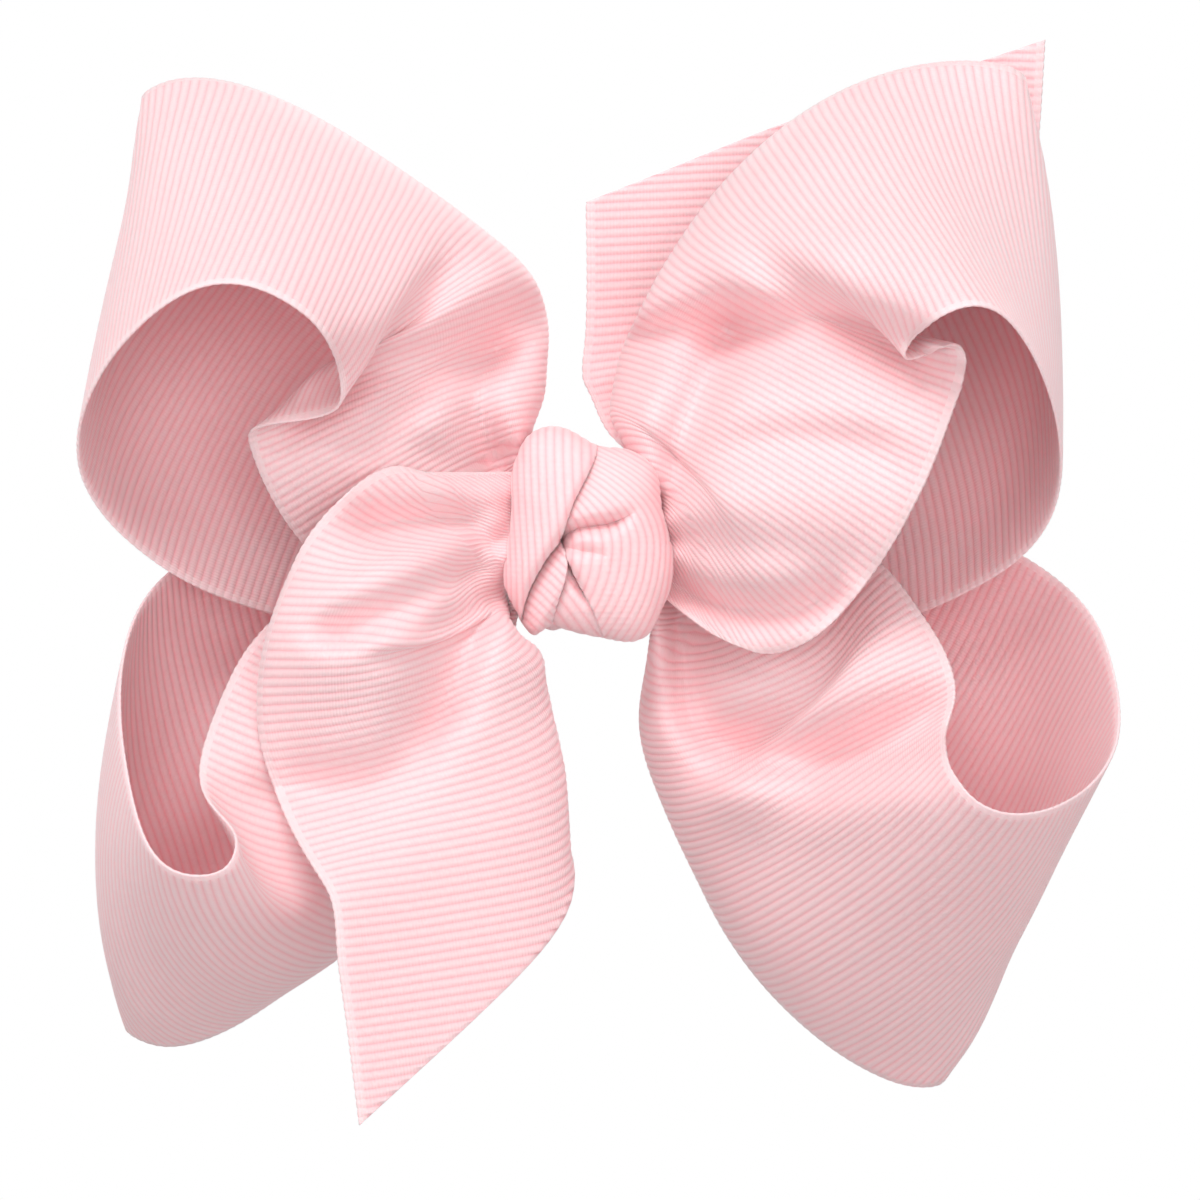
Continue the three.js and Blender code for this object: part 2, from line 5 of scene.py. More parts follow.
import bpy
import numpy as np
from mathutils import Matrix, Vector


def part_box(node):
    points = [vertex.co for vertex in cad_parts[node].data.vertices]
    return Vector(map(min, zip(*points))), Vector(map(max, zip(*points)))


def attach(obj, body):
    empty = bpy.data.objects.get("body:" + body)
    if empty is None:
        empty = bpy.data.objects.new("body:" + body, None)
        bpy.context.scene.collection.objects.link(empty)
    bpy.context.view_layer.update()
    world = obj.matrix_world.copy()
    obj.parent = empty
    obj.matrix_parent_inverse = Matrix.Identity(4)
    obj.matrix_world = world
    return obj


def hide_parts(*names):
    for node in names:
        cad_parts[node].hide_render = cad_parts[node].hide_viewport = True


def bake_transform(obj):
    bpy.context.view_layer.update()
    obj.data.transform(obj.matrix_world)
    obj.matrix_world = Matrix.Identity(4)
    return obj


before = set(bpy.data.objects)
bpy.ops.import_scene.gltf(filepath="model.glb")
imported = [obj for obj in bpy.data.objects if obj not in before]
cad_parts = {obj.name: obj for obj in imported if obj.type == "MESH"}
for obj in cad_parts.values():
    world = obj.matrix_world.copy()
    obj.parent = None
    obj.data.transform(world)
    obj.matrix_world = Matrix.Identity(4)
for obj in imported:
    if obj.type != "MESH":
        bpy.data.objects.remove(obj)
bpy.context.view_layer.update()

MM = 0.001

# ---- ribbon, in millimetres ----
WIDTH = 57.0
RIB_PITCH = 1.09
RIB_HEIGHT = 0.1
RIBBON_CORE = 0.3  # thickness between the grooves of the two faces
SELVAGE = 1.1
BEAD_BASE = 0.12
BEAD_HEIGHT = 0.1
ROWS_PER_RIB = 6
COLUMNS = 34

# ---- relaxing ----
COARSE = (60, 20)  # rows along a span and points across it
FINE = (120, 30)
EASE = 0.86  # the share of its flat length that a stretch of cloth may ease in to
EASED_REACH = 17.0  # how far from the gather the cloth may ease in freely
EASED_FADE = 22.0  # from there to where it resists easing in fully
DIAGONAL_FIRMNESS = 0.7  # of the links across the weave, where those along it have 1
GUIDE_FADE = 0.7  # the share of the pull to the stations that is gone by the last round
SELVAGE_HOLD = 3.0  # how much harder the selvages are pulled to their stations than the middle is
FRONT_ROWS = 58  # the fine rows that make up a loop's front wall

# ---- gather, as in the CAD model ----
GATHER_HALF = 8.4
GATHER_TOP = 7.5
GATHER_DROP = -9.0
FIRST_LAYER = 2.6
LAYER_PITCH = 2.9
REAR_INSET = 2.8

# ---- pleats and folds beside the gather ----
PLEAT_DEPTH = 1.1
PLEATS = 3
FOLD_RISE = 6.0  # from the gather to where a fold has its full depth

# ---- pleats that fan out from a point near the gather ----
FAN_CENTRE = 4.0  # the point, along X and in height
FAN_HEIGHT = -0.5
FAN_REACH = 14.0
FAN_DEPTH = 1.9
FAN_PLEATS = 8
FAN_BACK = 3.0  # nearer to the clip than this there are no pleats
FAN_FADE = 9.0  # and from there forward they grow to their full depth


# ---- splines and grids ----
def spline(points, knots, samples):
    """A natural cubic spline through points (count, ...) at the given knots."""
    count = len(points)
    flat = points.reshape(count, -1)
    gap = np.diff(knots)
    slope = np.diff(flat, axis=0) / gap[:, None]
    matrix = np.eye(count)
    right = np.zeros_like(flat)
    inner = np.arange(1, count - 1)
    matrix[inner, inner - 1] = gap[:-1]
    matrix[inner, inner] = 2 * (gap[:-1] + gap[1:])
    matrix[inner, inner + 1] = gap[1:]
    right[1:-1] = 6 * np.diff(slope, axis=0)
    bend = np.linalg.solve(matrix, right)
    i = np.clip(np.searchsorted(knots, samples, side="right") - 1, 0, count - 2)
    h = gap[i][:, None]
    t = (samples - knots[i])[:, None]
    first = slope[i] - h * (2 * bend[i] + bend[i + 1]) / 6
    value = flat[i] + t * (first + t * (bend[i] / 2 + t * (bend[i + 1] - bend[i]) / (6 * h)))
    return value.reshape((len(samples),) + points.shape[1:])


def resample(points, count):
    """Points along the first axis, respaced by the square root of their mean distance."""
    step = np.linalg.norm(np.diff(points, axis=0), axis=-1)
    step = np.sqrt(step.reshape(len(points) - 1, -1).mean(axis=1))
    knots = np.concatenate([[0], np.cumsum(step)])
    return spline(points, knots, np.linspace(0, knots[-1], count))


def flip(grid):
    return np.swapaxes(grid, 0, 1)


def loft(stations, along, across):
    grid = resample(np.array(stations, float), along)
    return flip(resample(flip(grid), across))


def spline_across(grid, knots, samples):
    return flip(spline(flip(grid), knots, samples))


def arc_length(points):
    step = np.linalg.norm(np.diff(points, axis=0), axis=-1)
    return np.concatenate([[0], np.cumsum(step)])


def flat_pattern(grid):
    """Where each grid point lies on the flat ribbon: along it from the middle row, and across it."""
    middle = len(grid) // 2
    front = arc_length(grid[:, 0])
    back = arc_length(grid[:, -1])
    across = np.linspace(0, 1, grid.shape[1])
    along = np.outer(front - front[middle], 1 - across) + np.outer(back - back[middle], across)
    return along, np.broadcast_to(across * WIDTH, along.shape).copy()


# ---- relaxing a span towards cloth of fixed width, which may ease in a little ----
def link(points, weight, a, b, length, firmness, slack):
    """Draws linked points towards their flat distance. A short gap is pushed out only by slack."""
    gap = points[b] - points[a]
    far = np.linalg.norm(gap, axis=-1) + 1e-9
    short = np.minimum(far - length * EASE, 0)
    excess = np.where(far < length, short * slack, far - length)
    share = weight[a] + weight[b]
    push = (firmness * excess / far / np.where(share == 0, 1, share))[..., None] * gap
    points[a] += weight[a][..., None] * push
    points[b] -= weight[b][..., None] * push


def smooth(points, weight, axis, firmness):
    """Stiffness against bending: each point moves towards the middle of its neighbours."""
    view = np.swapaxes(points, 0, axis)
    hold = np.swapaxes(weight, 0, axis)[..., None]
    for offset in range(3):
        i = np.arange(offset + 1, len(view) - 1, 3)
        lift = (view[i - 1] + view[i + 1]) / 2 - view[i]
        view[i] += firmness * 0.5 * lift * hold[i]
        view[i - 1] -= firmness * 0.25 * lift * hold[i - 1]
        view[i + 1] -= firmness * 0.25 * lift * hold[i + 1]


def relax(grid, along, across, rounds, guide, bend_along, bend_across, fixed_rows):
    """Relaxes a grid by its flat pattern. The guide pulls it back to where it started, less and less."""
    points = grid.copy()
    weight = np.ones(grid.shape[:2])
    weight[fixed_rows] = 0
    rows, columns = weight.shape
    hold = weight.copy()
    hold[:, [0, -1]] *= SELVAGE_HOLD
    near_gather = np.minimum(np.abs(along - along[0]), np.abs(along - along[-1]))
    slack = np.clip((near_gather - EASED_REACH) / EASED_FADE, 0.0, 1)
    pairs = []
    for odd in (0, 1):
        pairs.append((np.s_[odd : rows - 1 : 2, :], np.s_[odd + 1 : rows : 2, :], 1.0))
        pairs.append((np.s_[:, odd : columns - 1 : 2], np.s_[:, odd + 1 : columns : 2], 1.0))
    for i in (0, 1):
        for j in (0, 1):
            low = np.s_[i : rows - 1 : 2, j : columns - 1 : 2]
            high = np.s_[i + 1 : rows : 2, j + 1 : columns : 2]
            pairs.append((low, high, DIAGONAL_FIRMNESS))
            low = np.s_[i : rows - 1 : 2, j + 1 : columns : 2]
            high = np.s_[i + 1 : rows : 2, j : columns - 1 : 2]
            pairs.append((low, high, DIAGONAL_FIRMNESS))
    lengths = [np.hypot(along[b] - along[a], across[b] - across[a]) for a, b, _ in pairs]
    slacks = [np.broadcast_to(slack[a], length.shape) for (a, _, _), length in zip(pairs, lengths)]
    for turn in range(rounds):
        pull = guide * (1 - GUIDE_FADE * turn / rounds)
        points += (pull * hold)[..., None] * (grid - points)
        smooth(points, weight, 1, bend_across)
        smooth(points, weight, 0, bend_along)
        for _ in range(3):
            for (a, b, firmness), length, loose in zip(pairs, lengths, slacks):
                link(points, weight, a, b, length, firmness, loose)
    return points


# ---- meshes ----
def make_mesh(name, points, faces, uv, material):
    mesh = bpy.data.meshes.new(name)
    mesh.from_pydata([tuple(p) for p in points * MM], [], faces)
    mesh.polygons.foreach_set("use_smooth", np.ones(len(mesh.polygons), bool))
    layer = mesh.uv_layers.new(name="flat")
    corner = np.zeros(len(mesh.loops), np.int32)
    mesh.loops.foreach_get("vertex_index", corner)
    layer.data.foreach_set("uv", np.asarray(uv, np.float32)[corner].ravel())
    mesh.materials.append(material)
    mesh.validate()
    piece = bpy.data.objects.new(name, mesh)
    bpy.context.scene.collection.objects.link(piece)
    return piece


def rib_profile(along):
    """Height of the ribs, from 0 in a groove to 1 on top, at a distance along the ribbon."""
    return np.abs(np.cos(np.pi * along / RIB_PITCH)) ** 0.8


def normals_of(grid):
    along = np.gradient(grid, axis=0)
    across = np.gradient(grid, axis=1)
    normal = np.cross(along, across)
    return normal / (np.linalg.norm(normal, axis=-1, keepdims=True) + 1e-12)


def tube_quads(index):
    """Quads between the rings of a closed tube, where index holds a row of vertices for each ring."""
    wrapped = np.concatenate([index, index[:, :1]], axis=1)
    quads = np.stack([wrapped[:-1, :-1], wrapped[1:, :-1], wrapped[1:, 1:], wrapped[:-1, 1:]], -1)
    return quads.reshape(-1, 4).tolist()


def capped_tube(index):
    """A closed tube's faces, with a flat face over each end."""
    return tube_quads(index) + [index[0].tolist(), index[-1][::-1].tolist()]


def clean_faces(quads):
    """Quads as faces, with repeated corners dropped."""
    faces = []
    for a, b, c, d in quads.tolist():
        face = [a]
        for corner in (b, c, d):
            if corner != face[-1]:
                face.append(corner)
        if face[-1] == face[0]:
            face.pop()
        if len(set(face)) >= 3:
            faces.append(face)
    return faces


def ribbon_piece(name, grid, along, across, material):
    """A closed ribbon whose mesh rows follow its ribs. Each face carries the ribs in relief."""
    columns = COLUMNS
    at = np.linspace(0, across[0, -1], columns)
    fine = spline_across(grid, across[0], at)
    flat = spline_across(along, across[0], at)
    normal = normals_of(fine)
    step = RIB_PITCH / ROWS_PER_RIB
    first = math.floor(flat[0].min() / step)
    last = math.ceil(flat[-1].max() / step)
    rows = np.arange(first, last + 1)
    levels = np.arange(len(flat), dtype=float)
    places, tilts, reach = [], [], []
    index = np.zeros((len(rows), columns), int)
    total = 0
    for j in range(columns):
        start, end = flat[0, j], flat[-1, j]
        kept = rows[(rows * step > start + step * 0.2) & (rows * step < end - step * 0.2)]
        u = np.concatenate([[start], kept * step, [end]])
        level = np.interp(u, flat[:, j], levels)
        places.append(spline(fine[:, j], levels, level))
        tilts.append(spline(normal[:, j], levels, level))
        reach.append(u)
        index[:, j] = total + np.clip(rows - kept[0] + 1, 0, len(u) - 1)
        total += len(u)
    place = np.concatenate(places)
    tilt = np.concatenate(tilts)
    tilt /= np.linalg.norm(tilt, axis=1, keepdims=True) + 1e-12
    u = np.concatenate(reach)
    v = np.repeat(at, [len(r) for r in reach])
    edge = np.clip(np.minimum(v, at[-1] - v) / SELVAGE, 0, 1)
    lift = RIBBON_CORE / 2 + RIB_HEIGHT * rib_profile(u) * (0.55 + 0.45 * edge)
    front = place + tilt * lift[:, None]
    back = place - tilt * lift[:, None]
    # a rounded, slightly beaded selvage closes each long edge
    bead = BEAD_BASE + BEAD_HEIGHT * rib_profile(u)
    out = np.zeros_like(place)
    ends = np.cumsum([0] + [len(r) for r in reach])
    side_low = place[index[:, 0]] - place[index[:, 1]]
    side_high = place[index[:, -1]] - place[index[:, -2]]
    for column, side in ((0, side_low), (columns - 1, side_high)):
        unit = side / (np.linalg.norm(side, axis=1, keepdims=True) + 1e-12)
        out[index[:, column]] = unit
    low = np.arange(ends[0], ends[1])
    high = np.arange(ends[-2], ends[-1])
    low_edge = place[low] + out[low] * bead[low, None]
    high_edge = place[high] + out[high] * bead[high, None]
    points = np.concatenate([front, back, low_edge, high_edge])
    uv_all = np.stack([u / RIB_PITCH, v / WIDTH], 1)
    uv = np.concatenate([uv_all, uv_all, uv_all[low], uv_all[high]])
    f = index
    b = index + total
    le = 2 * total + (index[:, 0] - ends[0])
    he = 2 * total + len(low) + (index[:, -1] - ends[-2])
    ring = np.concatenate([f, he[:, None], b[:, ::-1], le[:, None], f[:, :1]], axis=1)
    quads = np.stack([ring[:-1, :-1], ring[1:, :-1], ring[1:, 1:], ring[:-1, 1:]], -1).reshape(-1, 4)
    caps = []
    for row, flip in ((0, 1), (-1, -1)):
        chain_f = np.concatenate([[le[row]], f[row], [he[row]]])
        chain_b = np.concatenate([[le[row]], b[row], [he[row]]])
        cap = np.stack([chain_f[:-1], chain_f[1:], chain_b[1:], chain_b[:-1]], -1)
        caps.append(cap[:, ::flip])
    faces = clean_faces(np.concatenate([quads] + caps))
    return make_mesh(name, points, faces, uv, material)


def gather_row(side, layer, low, high, count):
    """The pleated line where a span leaves the gather."""
    share = np.linspace(0, 1, count)
    z = low + (high - low) * share
    height = (z - GATHER_DROP) / (GATHER_TOP - GATHER_DROP)
    y = -(FIRST_LAYER + layer * LAYER_PITCH) + PLEAT_DEPTH * np.cos(2 * math.pi * PLEATS * height)
    return np.stack([np.full(count, side * GATHER_HALF), y, z], 1)


def smooth_line(points, count=60):
    """A smooth line through a few points in X and Z."""
    return resample(np.array(points, float), count)


def beside(line, x, z):
    """Distance to a line, signed by side, with the share of the way along it."""
    best = np.full(x.shape, 1e9)
    side = np.zeros(x.shape)
    share = np.zeros(x.shape)
    for i in range(len(line) - 1):
        (ax, az), (bx, bz) = line[i], line[i + 1]
        dx, dz = bx - ax, bz - az
        size = dx * dx + dz * dz
        t = np.clip(((x - ax) * dx + (z - az) * dz) / size, 0, 1)
        gx, gz = x - ax - t * dx, z - az - t * dz
        far = np.hypot(gx, gz)
        near = far < best
        best = np.where(near, far, best)
        side = np.where(near, np.sign(dx * gz - dz * gx), side)
        share = np.where(near, (i + t) / (len(line) - 1), share)
    return best, side, share


def press(grid, folds, last_row):
    """Presses valleys into the front wall. Each has a width on the left and right of its line."""
    wall = grid[:last_row]
    free = np.clip((np.hypot(wall[..., 0], wall[..., 2]) - GATHER_HALF - 1) / FOLD_RISE, 0, 1)
    free = free * free * (3 - 2 * free)
    for line, depth, left, right in folds:
        far, side, _ = beside(smooth_line(line, 40), wall[..., 0], wall[..., 2])
        wall[..., 1] += depth * free * np.exp(-((far / np.where(side > 0, left, right)) ** 2))


def soften(grid, rounds):
    """Evens out the inside of a grid a little, and leaves its borders alone."""
    for _ in range(rounds):
        inner = grid[1:-1, 1:-1]
        sides = grid[:-2, 1:-1] + grid[2:, 1:-1] + grid[1:-1, :-2] + grid[1:-1, 2:]
        inner += 0.4 * (sides / 4 - inner)


def pinch(grid, side):
    """Pleats that fan out from the gather, the same in every layer and fainter towards the clip."""
    x = side * grid[..., 0] - FAN_CENTRE
    z = grid[..., 2] - FAN_HEIGHT
    fade = np.exp(-((np.hypot(x, z) / FAN_REACH) ** 2)) * np.clip(x / 3, 0, 1)
    fade = fade * np.clip((-grid[..., 1] - FAN_BACK) / FAN_FADE, 0, 1)
    grid[..., 1] += FAN_DEPTH * fade * np.cos(FAN_PLEATS * np.arctan2(z, x))


def refined(values):
    """The coarse grid's values, read off at the fine grid's places."""
    rows = spline(values, np.linspace(0, 1, COARSE[0]), np.linspace(0, 1, FINE[0]))
    return spline_across(rows, np.linspace(0, 1, COARSE[1]), np.linspace(0, 1, FINE[1]))


def relaxed_span(stations, side, front, back, folds):
    """Lofts a span through its stations, relaxes it coarsely and finely, and presses in its folds."""
    grid = loft(stations, *COARSE)
    rows = [0, -1] if back else [0]
    grid[0] = gather_row(side, *front, COARSE[1])
    if back:
        grid[-1] = gather_row(side, *back, COARSE[1])
    along, across = flat_pattern(grid)
    grid = relax(
        grid, along, across, rounds=160, guide=0.06, bend_along=0.3, bend_across=0.5, fixed_rows=rows
    )
    grid, along, across = (refined(values) for values in (grid, along, across))
    grid = relax(
        grid, along, across, rounds=60, guide=0.04, bend_along=0.2, bend_across=0.4, fixed_rows=rows
    )
    soften(grid, rounds=4)
    press(grid, folds, FRONT_ROWS if back else FINE[0])
    soften(grid, rounds=2)
    pinch(grid, side)
    return grid, along, across


# Valleys in the front walls: a line of points in X and Z, the depth, and the half widths on the
# left and the right of the line. A negative depth is a ridge.
FOLDS = {
    "loop_upper_left": [
        ([(-9.4, 7.7), (-12.4, 11.9), (-13.6, 16.8), (-11, 22)], 6.5, 2.4, 2.4),
        ([(-30.5, 18.5), (-20.3, 21.3), (-13, 24.5), (-6.5, 27.5)], 6.5, 3.0, 5.5),
        ([(-10, 5), (-17, 8.5), (-26, 11.5)], 2.6, 2.2, 2.8),
        ([(-4.5, 22), (-6.5, 15), (-8.5, 11)], -1.6, 2.0, 2.0),
    ],
    "loop_upper_right": [
        ([(9.1, 7), (12.3, 13.6), (15.3, 20.2), (17.7, 24.4)], 9.0, 3.0, 2.2),
        ([(5.5, 23.4), (10, 24.9), (18.9, 25.9), (27.8, 25.4), (33.9, 24.2), (38, 22.6)], 8.5, 2.2, 6.5),
        ([(4.5, 27), (9.3, 31.5), (18.9, 33), (29.1, 32)], -2.4, 4.5, 3.4),
        ([(9.3, 4), (15.9, 9.4), (25.5, 11.2), (35, 10)], 3.6, 2.0, 3.4),
        ([(9.9, -3.2), (13.5, -2.4), (20.7, -2), (31.5, -3.2)], 1.8, 2.2, 2.8),
        ([(10.1, -5), (13.5, -8), (23.1, -9.4), (29, -8)], 7.0, 2.4, 1.3),
        ([(11, -10), (15, -13), (20, -13.5)], -1.5, 1.6, 1.6),
    ],
    "loop_lower_left": [
        ([(-24, -20), (-32, -29), (-38, -31)], 2.4, 2.4, 2.4),
    ],
    "loop_lower_right": [
        (
            [
                (10.4, -7.4), (11.4, -13), (12.2, -19.7), (14.3, -24.1),
                (20.5, -27), (31.2, -26.7), (42, -23.6),
            ],
            8.0, 5.0, 2.0,
        ),
        ([(17, -31.5), (26, -33.5), (38, -31)], -1.6, 3.0, 4.0),
    ],
    "tail_front": [
        ([(-9, 1.5), (-15, 2.2), (-20.3, 1.7), (-26.5, 1.2)], 6.0, 2.0, 1.5),
        ([(-10, -2.5), (-16, -5), (-21.5, -8), (-29.5, -12)], 6.0, 1.9, 2.4),
        ([(-10.4, -6.2), (-13.1, -11), (-15.2, -15.2), (-17.2, -22)], 6.0, 2.0, 4.0),
        ([(-19.5, -26), (-24, -29.5), (-29, -31), (-34, -31)], 3.0, 2.4, 4.0),
    ],
    "tail_back": [],
}

# How far the ribs lead at the back selvage, in millimetres along the ribbon.
RIB_LEAD = {"loop_lower_left": 11.0, "loop_lower_right": 13.0}

UPPER = (GATHER_DROP + 2, GATHER_TOP)
LOWER = (GATHER_TOP - REAR_INSET, GATHER_DROP)
LAYERS = {
    "upper": ((4, *UPPER), (2, UPPER[0], UPPER[1] - REAR_INSET)),
    "lower": ((3, *LOWER), (1, LOWER[0], LOWER[1] + REAR_INSET)),
}

# Each row of stations runs across the ribbon, from the front selvage to the back one.
LOOP_UPPER_LEFT = [
    [
        (-23, -14, -7), (-20.5, -16.5, -2), (-17, -18.5, 3),
        (-13.5, -20, 9.5), (-8.5, -13, 13.5), (-8.5, -1, 11),
    ],
    [
        (-39, -24, 0.5), (-33, -28, 6), (-24.5, -29, 12),
        (-14, -24, 17), (-3.4, -14, 19), (-8, 2, 17),
    ],
    [
        (-41.5, -27, 9.5), (-33.5, -30.5, 13), (-24.5, -30.5, 18),
        (-13, -25, 22.5), (-1.8, -14, 25), (-7, 3, 23),
    ],
    [
        (-31, -35, 15.5), (-26.5, -33, 21), (-19.5, -29, 26),
        (-10.5, -22, 29.5), (-2.2, -12, 31), (-8, 5, 31.5),
    ],
    [
        (-29.5, -43, 21.5), (-25.5, -36, 26.5), (-20.5, -27, 31.5),
        (-15, -18, 35.5), (-10.5, -8, 36.5), (-13, 4, 37),
    ],
    [
        (-42.5, -48, 29), (-39.5, -40, 35), (-37, -30, 40.5),
        (-35, -18, 46.5), (-34, -7, 51.5), (-35, 4, 53),
    ],
    [
        (-55.5, -40, 21.5), (-55.5, -34, 29), (-54.5, -27, 36.5),
        (-53.5, -19, 44), (-52, -10, 51), (-50.5, -1, 56),
    ],
    [(-61, -28, 8.5), (-61, -20, 17), (-59.5, -12, 26), (-57, -7, 35), (-55.5, -3, 43.5), (-54, 1, 51)],
    [(-53, -20, -4.5), (-53.5, -12, 5), (-51.5, -7, 16), (-48, -4, 27), (-43.5, -1, 37.5), (-38.5, 2, 47)],
    [
        (-34, -10, -10.5), (-33.5, -8, -1.5), (-31.5, -6, 9),
        (-28.5, -5, 19), (-25.5, -4, 27.5), (-22.5, -3, 35.5),
    ],
    [(-22, -8, -10), (-21, -8, -4.5), (-20, -7, 2.5), (-18, -7, 8.5), (-16.5, -6.5, 14), (-16, -6, 20)],
]
LOOP_UPPER_RIGHT = [
    [(13.5, -20, -15), (13.5, -22.5, -9), (13.5, -24, -3.5), (11.5, -22.5, 4), (5, -16, 10.5), (6, -7, 11)],
    [
        (20, -24.5, -14), (18.5, -27.5, -7.5), (16.5, -29, -1),
        (11.5, -25, 8), (2.5, -15.5, 13), (5, -6, 13.5),
    ],
    [(27.5, -28, -13), (24, -32, -5.5), (19, -33, 2), (12, -27, 12.5), (0.5, -14, 16.5), (5.5, -3, 16)],
    [(40, -35, 4), (33.5, -36, 9.5), (24, -34, 14), (12.5, -26, 20.5), (0.5, -13, 23), (6.5, -3, 23)],
    [(44, -37, 22), (36.5, -36, 21.5), (27.5, -32, 25), (17.5, -24, 28.5), (6.5, -11, 31.5), (10, -2, 31)],
    [(37.5, -42, 21), (33, -36, 25.5), (25.5, -30, 29.5), (18, -22, 34), (10.5, -10, 38.5), (13, 0, 38)],
    [(44.5, -48, 26.5), (41, -41, 32.5), (36.5, -32, 39), (32, -22, 46), (28.5, -11, 53), (27.5, 0, 54)],
    [(53.5, -41, 19), (52.5, -35, 27.5), (51, -28, 36.5), (49, -21, 44.5), (46.5, -13, 53), (44.5, -4, 60)],
    [(56.5, -31, 6.5), (58.5, -26, 16), (59, -20, 26), (58.5, -14, 36.5), (56, -9, 47), (53, -4, 58)],
    [(52, -21, -5.5), (54.5, -13, 4), (55.5, -8, 14.5), (54.5, -5, 25.5), (51.5, -3, 37), (47, -1, 47.5)],
    [
        (35.5, -12, -11.5), (37, -9.5, -3.5), (36.5, -8, 5.5),
        (34.5, -5, 15.5), (31.5, -3, 25.5), (28, -1, 34.5),
    ],
    [(23.5, -9, -10), (24, -8.5, -5.5), (23.5, -8, 0.5), (22.5, -7.5, 6.5), (20.5, -7, 13), (19, -6, 18)],
]
LOOP_LOWER_LEFT = [
    [
        (-23, -10.5, -2), (-20, -11.5, -6.5), (-16, -11.5, -10),
        (-12.5, -10, -13.5), (-9.5, -8, -14.5), (-9.5, -1, -14),
    ],
    [
        (-42, -25, -16.5), (-36, -25, -21.5), (-29.5, -21, -24.5),
        (-22, -14, -26), (-13.5, -7, -26.5), (-14, 2, -25.5),
    ],
    [
        (-43.5, -31, -32.5), (-37.5, -28, -35), (-31.5, -23, -37),
        (-25.5, -15, -39), (-19.5, -7, -40), (-20, 3, -39),
    ],
    [
        (-41, -39, -40), (-38.5, -33, -44), (-35.5, -26, -48),
        (-32, -17, -51), (-29, -7, -51.5), (-31, 3, -51),
    ],
    [
        (-50, -41, -40), (-49.5, -34, -46), (-48.5, -26, -52),
        (-47, -17, -57), (-45, -7, -60.5), (-44.5, 2, -61),
    ],
    [
        (-54.5, -35, -30), (-57, -30, -37), (-58, -24, -44.5),
        (-57.5, -17, -52.5), (-56, -9, -59), (-53.5, 0, -62.5),
    ],
    [
        (-56, -25, -16), (-58.5, -19, -24.5), (-59.5, -13, -33.5),
        (-59, -8, -43), (-58, -4, -51), (-57, 1, -57.5),
    ],
    [
        (-50, -11, -3.5), (-50.5, -7, -13.5), (-49.5, -5, -23.5),
        (-47.5, -4, -33), (-45, -1, -41.5), (-42, 1, -49),
    ],
    [
        (-29.5, -3.6, 2.5), (-28.5, -3.4, -4.5), (-27, -3.2, -11.5),
        (-25, -3, -18.5), (-23, -2.6, -25.5), (-21.5, -2, -31.5),
    ],
    [
        (-18, -5, 3.5), (-17.5, -5, -1.5), (-17, -5, -6.5),
        (-16.5, -4.5, -10), (-15.5, -4.5, -14), (-14.5, -4, -18),
    ],
]
LOOP_LOWER_RIGHT = [
    [(18.5, -12, 0.5), (17.5, -14, -4.5), (16, -14.5, -9), (14, -16, -14), (8.5, -10, -15.5), (9, -2, -14)],
    [
        (36.5, -21, -5.5), (32.5, -22.5, -11.5), (26, -22, -17.5),
        (16, -18.5, -22.5), (5, -9, -24.5), (8.5, 2, -24.5),
    ],
    [
        (42.5, -29, -17), (35.5, -30, -20.5), (27.5, -26, -24.5),
        (18, -18, -29.5), (9, -7, -36), (12, 3, -36.5),
    ],
    [
        (41.5, -38, -24.5), (36.5, -34, -27.5), (29, -26, -32),
        (21.5, -16, -38.5), (15, -6, -47.5), (17, 3, -48.5),
    ],
    [(45.5, -46, -31), (41, -38, -37), (36, -29, -44), (31, -19, -51), (26, -8, -59), (25.5, 2, -60.5)],
    [
        (54.5, -42, -32.5), (52.5, -35, -40), (49.5, -28, -47.5),
        (45.5, -20, -55), (41.5, -12, -63), (38, -3, -68),
    ],
    [
        (62.5, -32, -26.5), (59.5, -25, -34), (56, -18, -42.5),
        (52.5, -12, -50.5), (48.5, -8, -57.5), (45, -4, -63),
    ],
    [
        (63.5, -22, -14.5), (59, -14, -22.5), (54.5, -8, -31.5),
        (50, -4, -39.5), (44.5, -2, -47), (38.5, 0, -53),
    ],
    [
        (55, -10.5, -3.5), (51, -5.5, -11), (45.5, -3.5, -19),
        (39.5, -3, -26.5), (34, -2, -33.5), (28, -1, -39),
    ],
    [
        (29.5, -4.2, 2.5), (28, -4, -3), (25.5, -3.2, -8.5),
        (22.5, -3.2, -13.5), (19.5, -3.5, -18.5), (16.5, -3, -22),
    ],
    [(18, -5, 3.5), (17.5, -5, 0.5), (16.5, -5, -3), (15.5, -5, -7), (14, -5, -10), (12.5, -5, -13)],
]
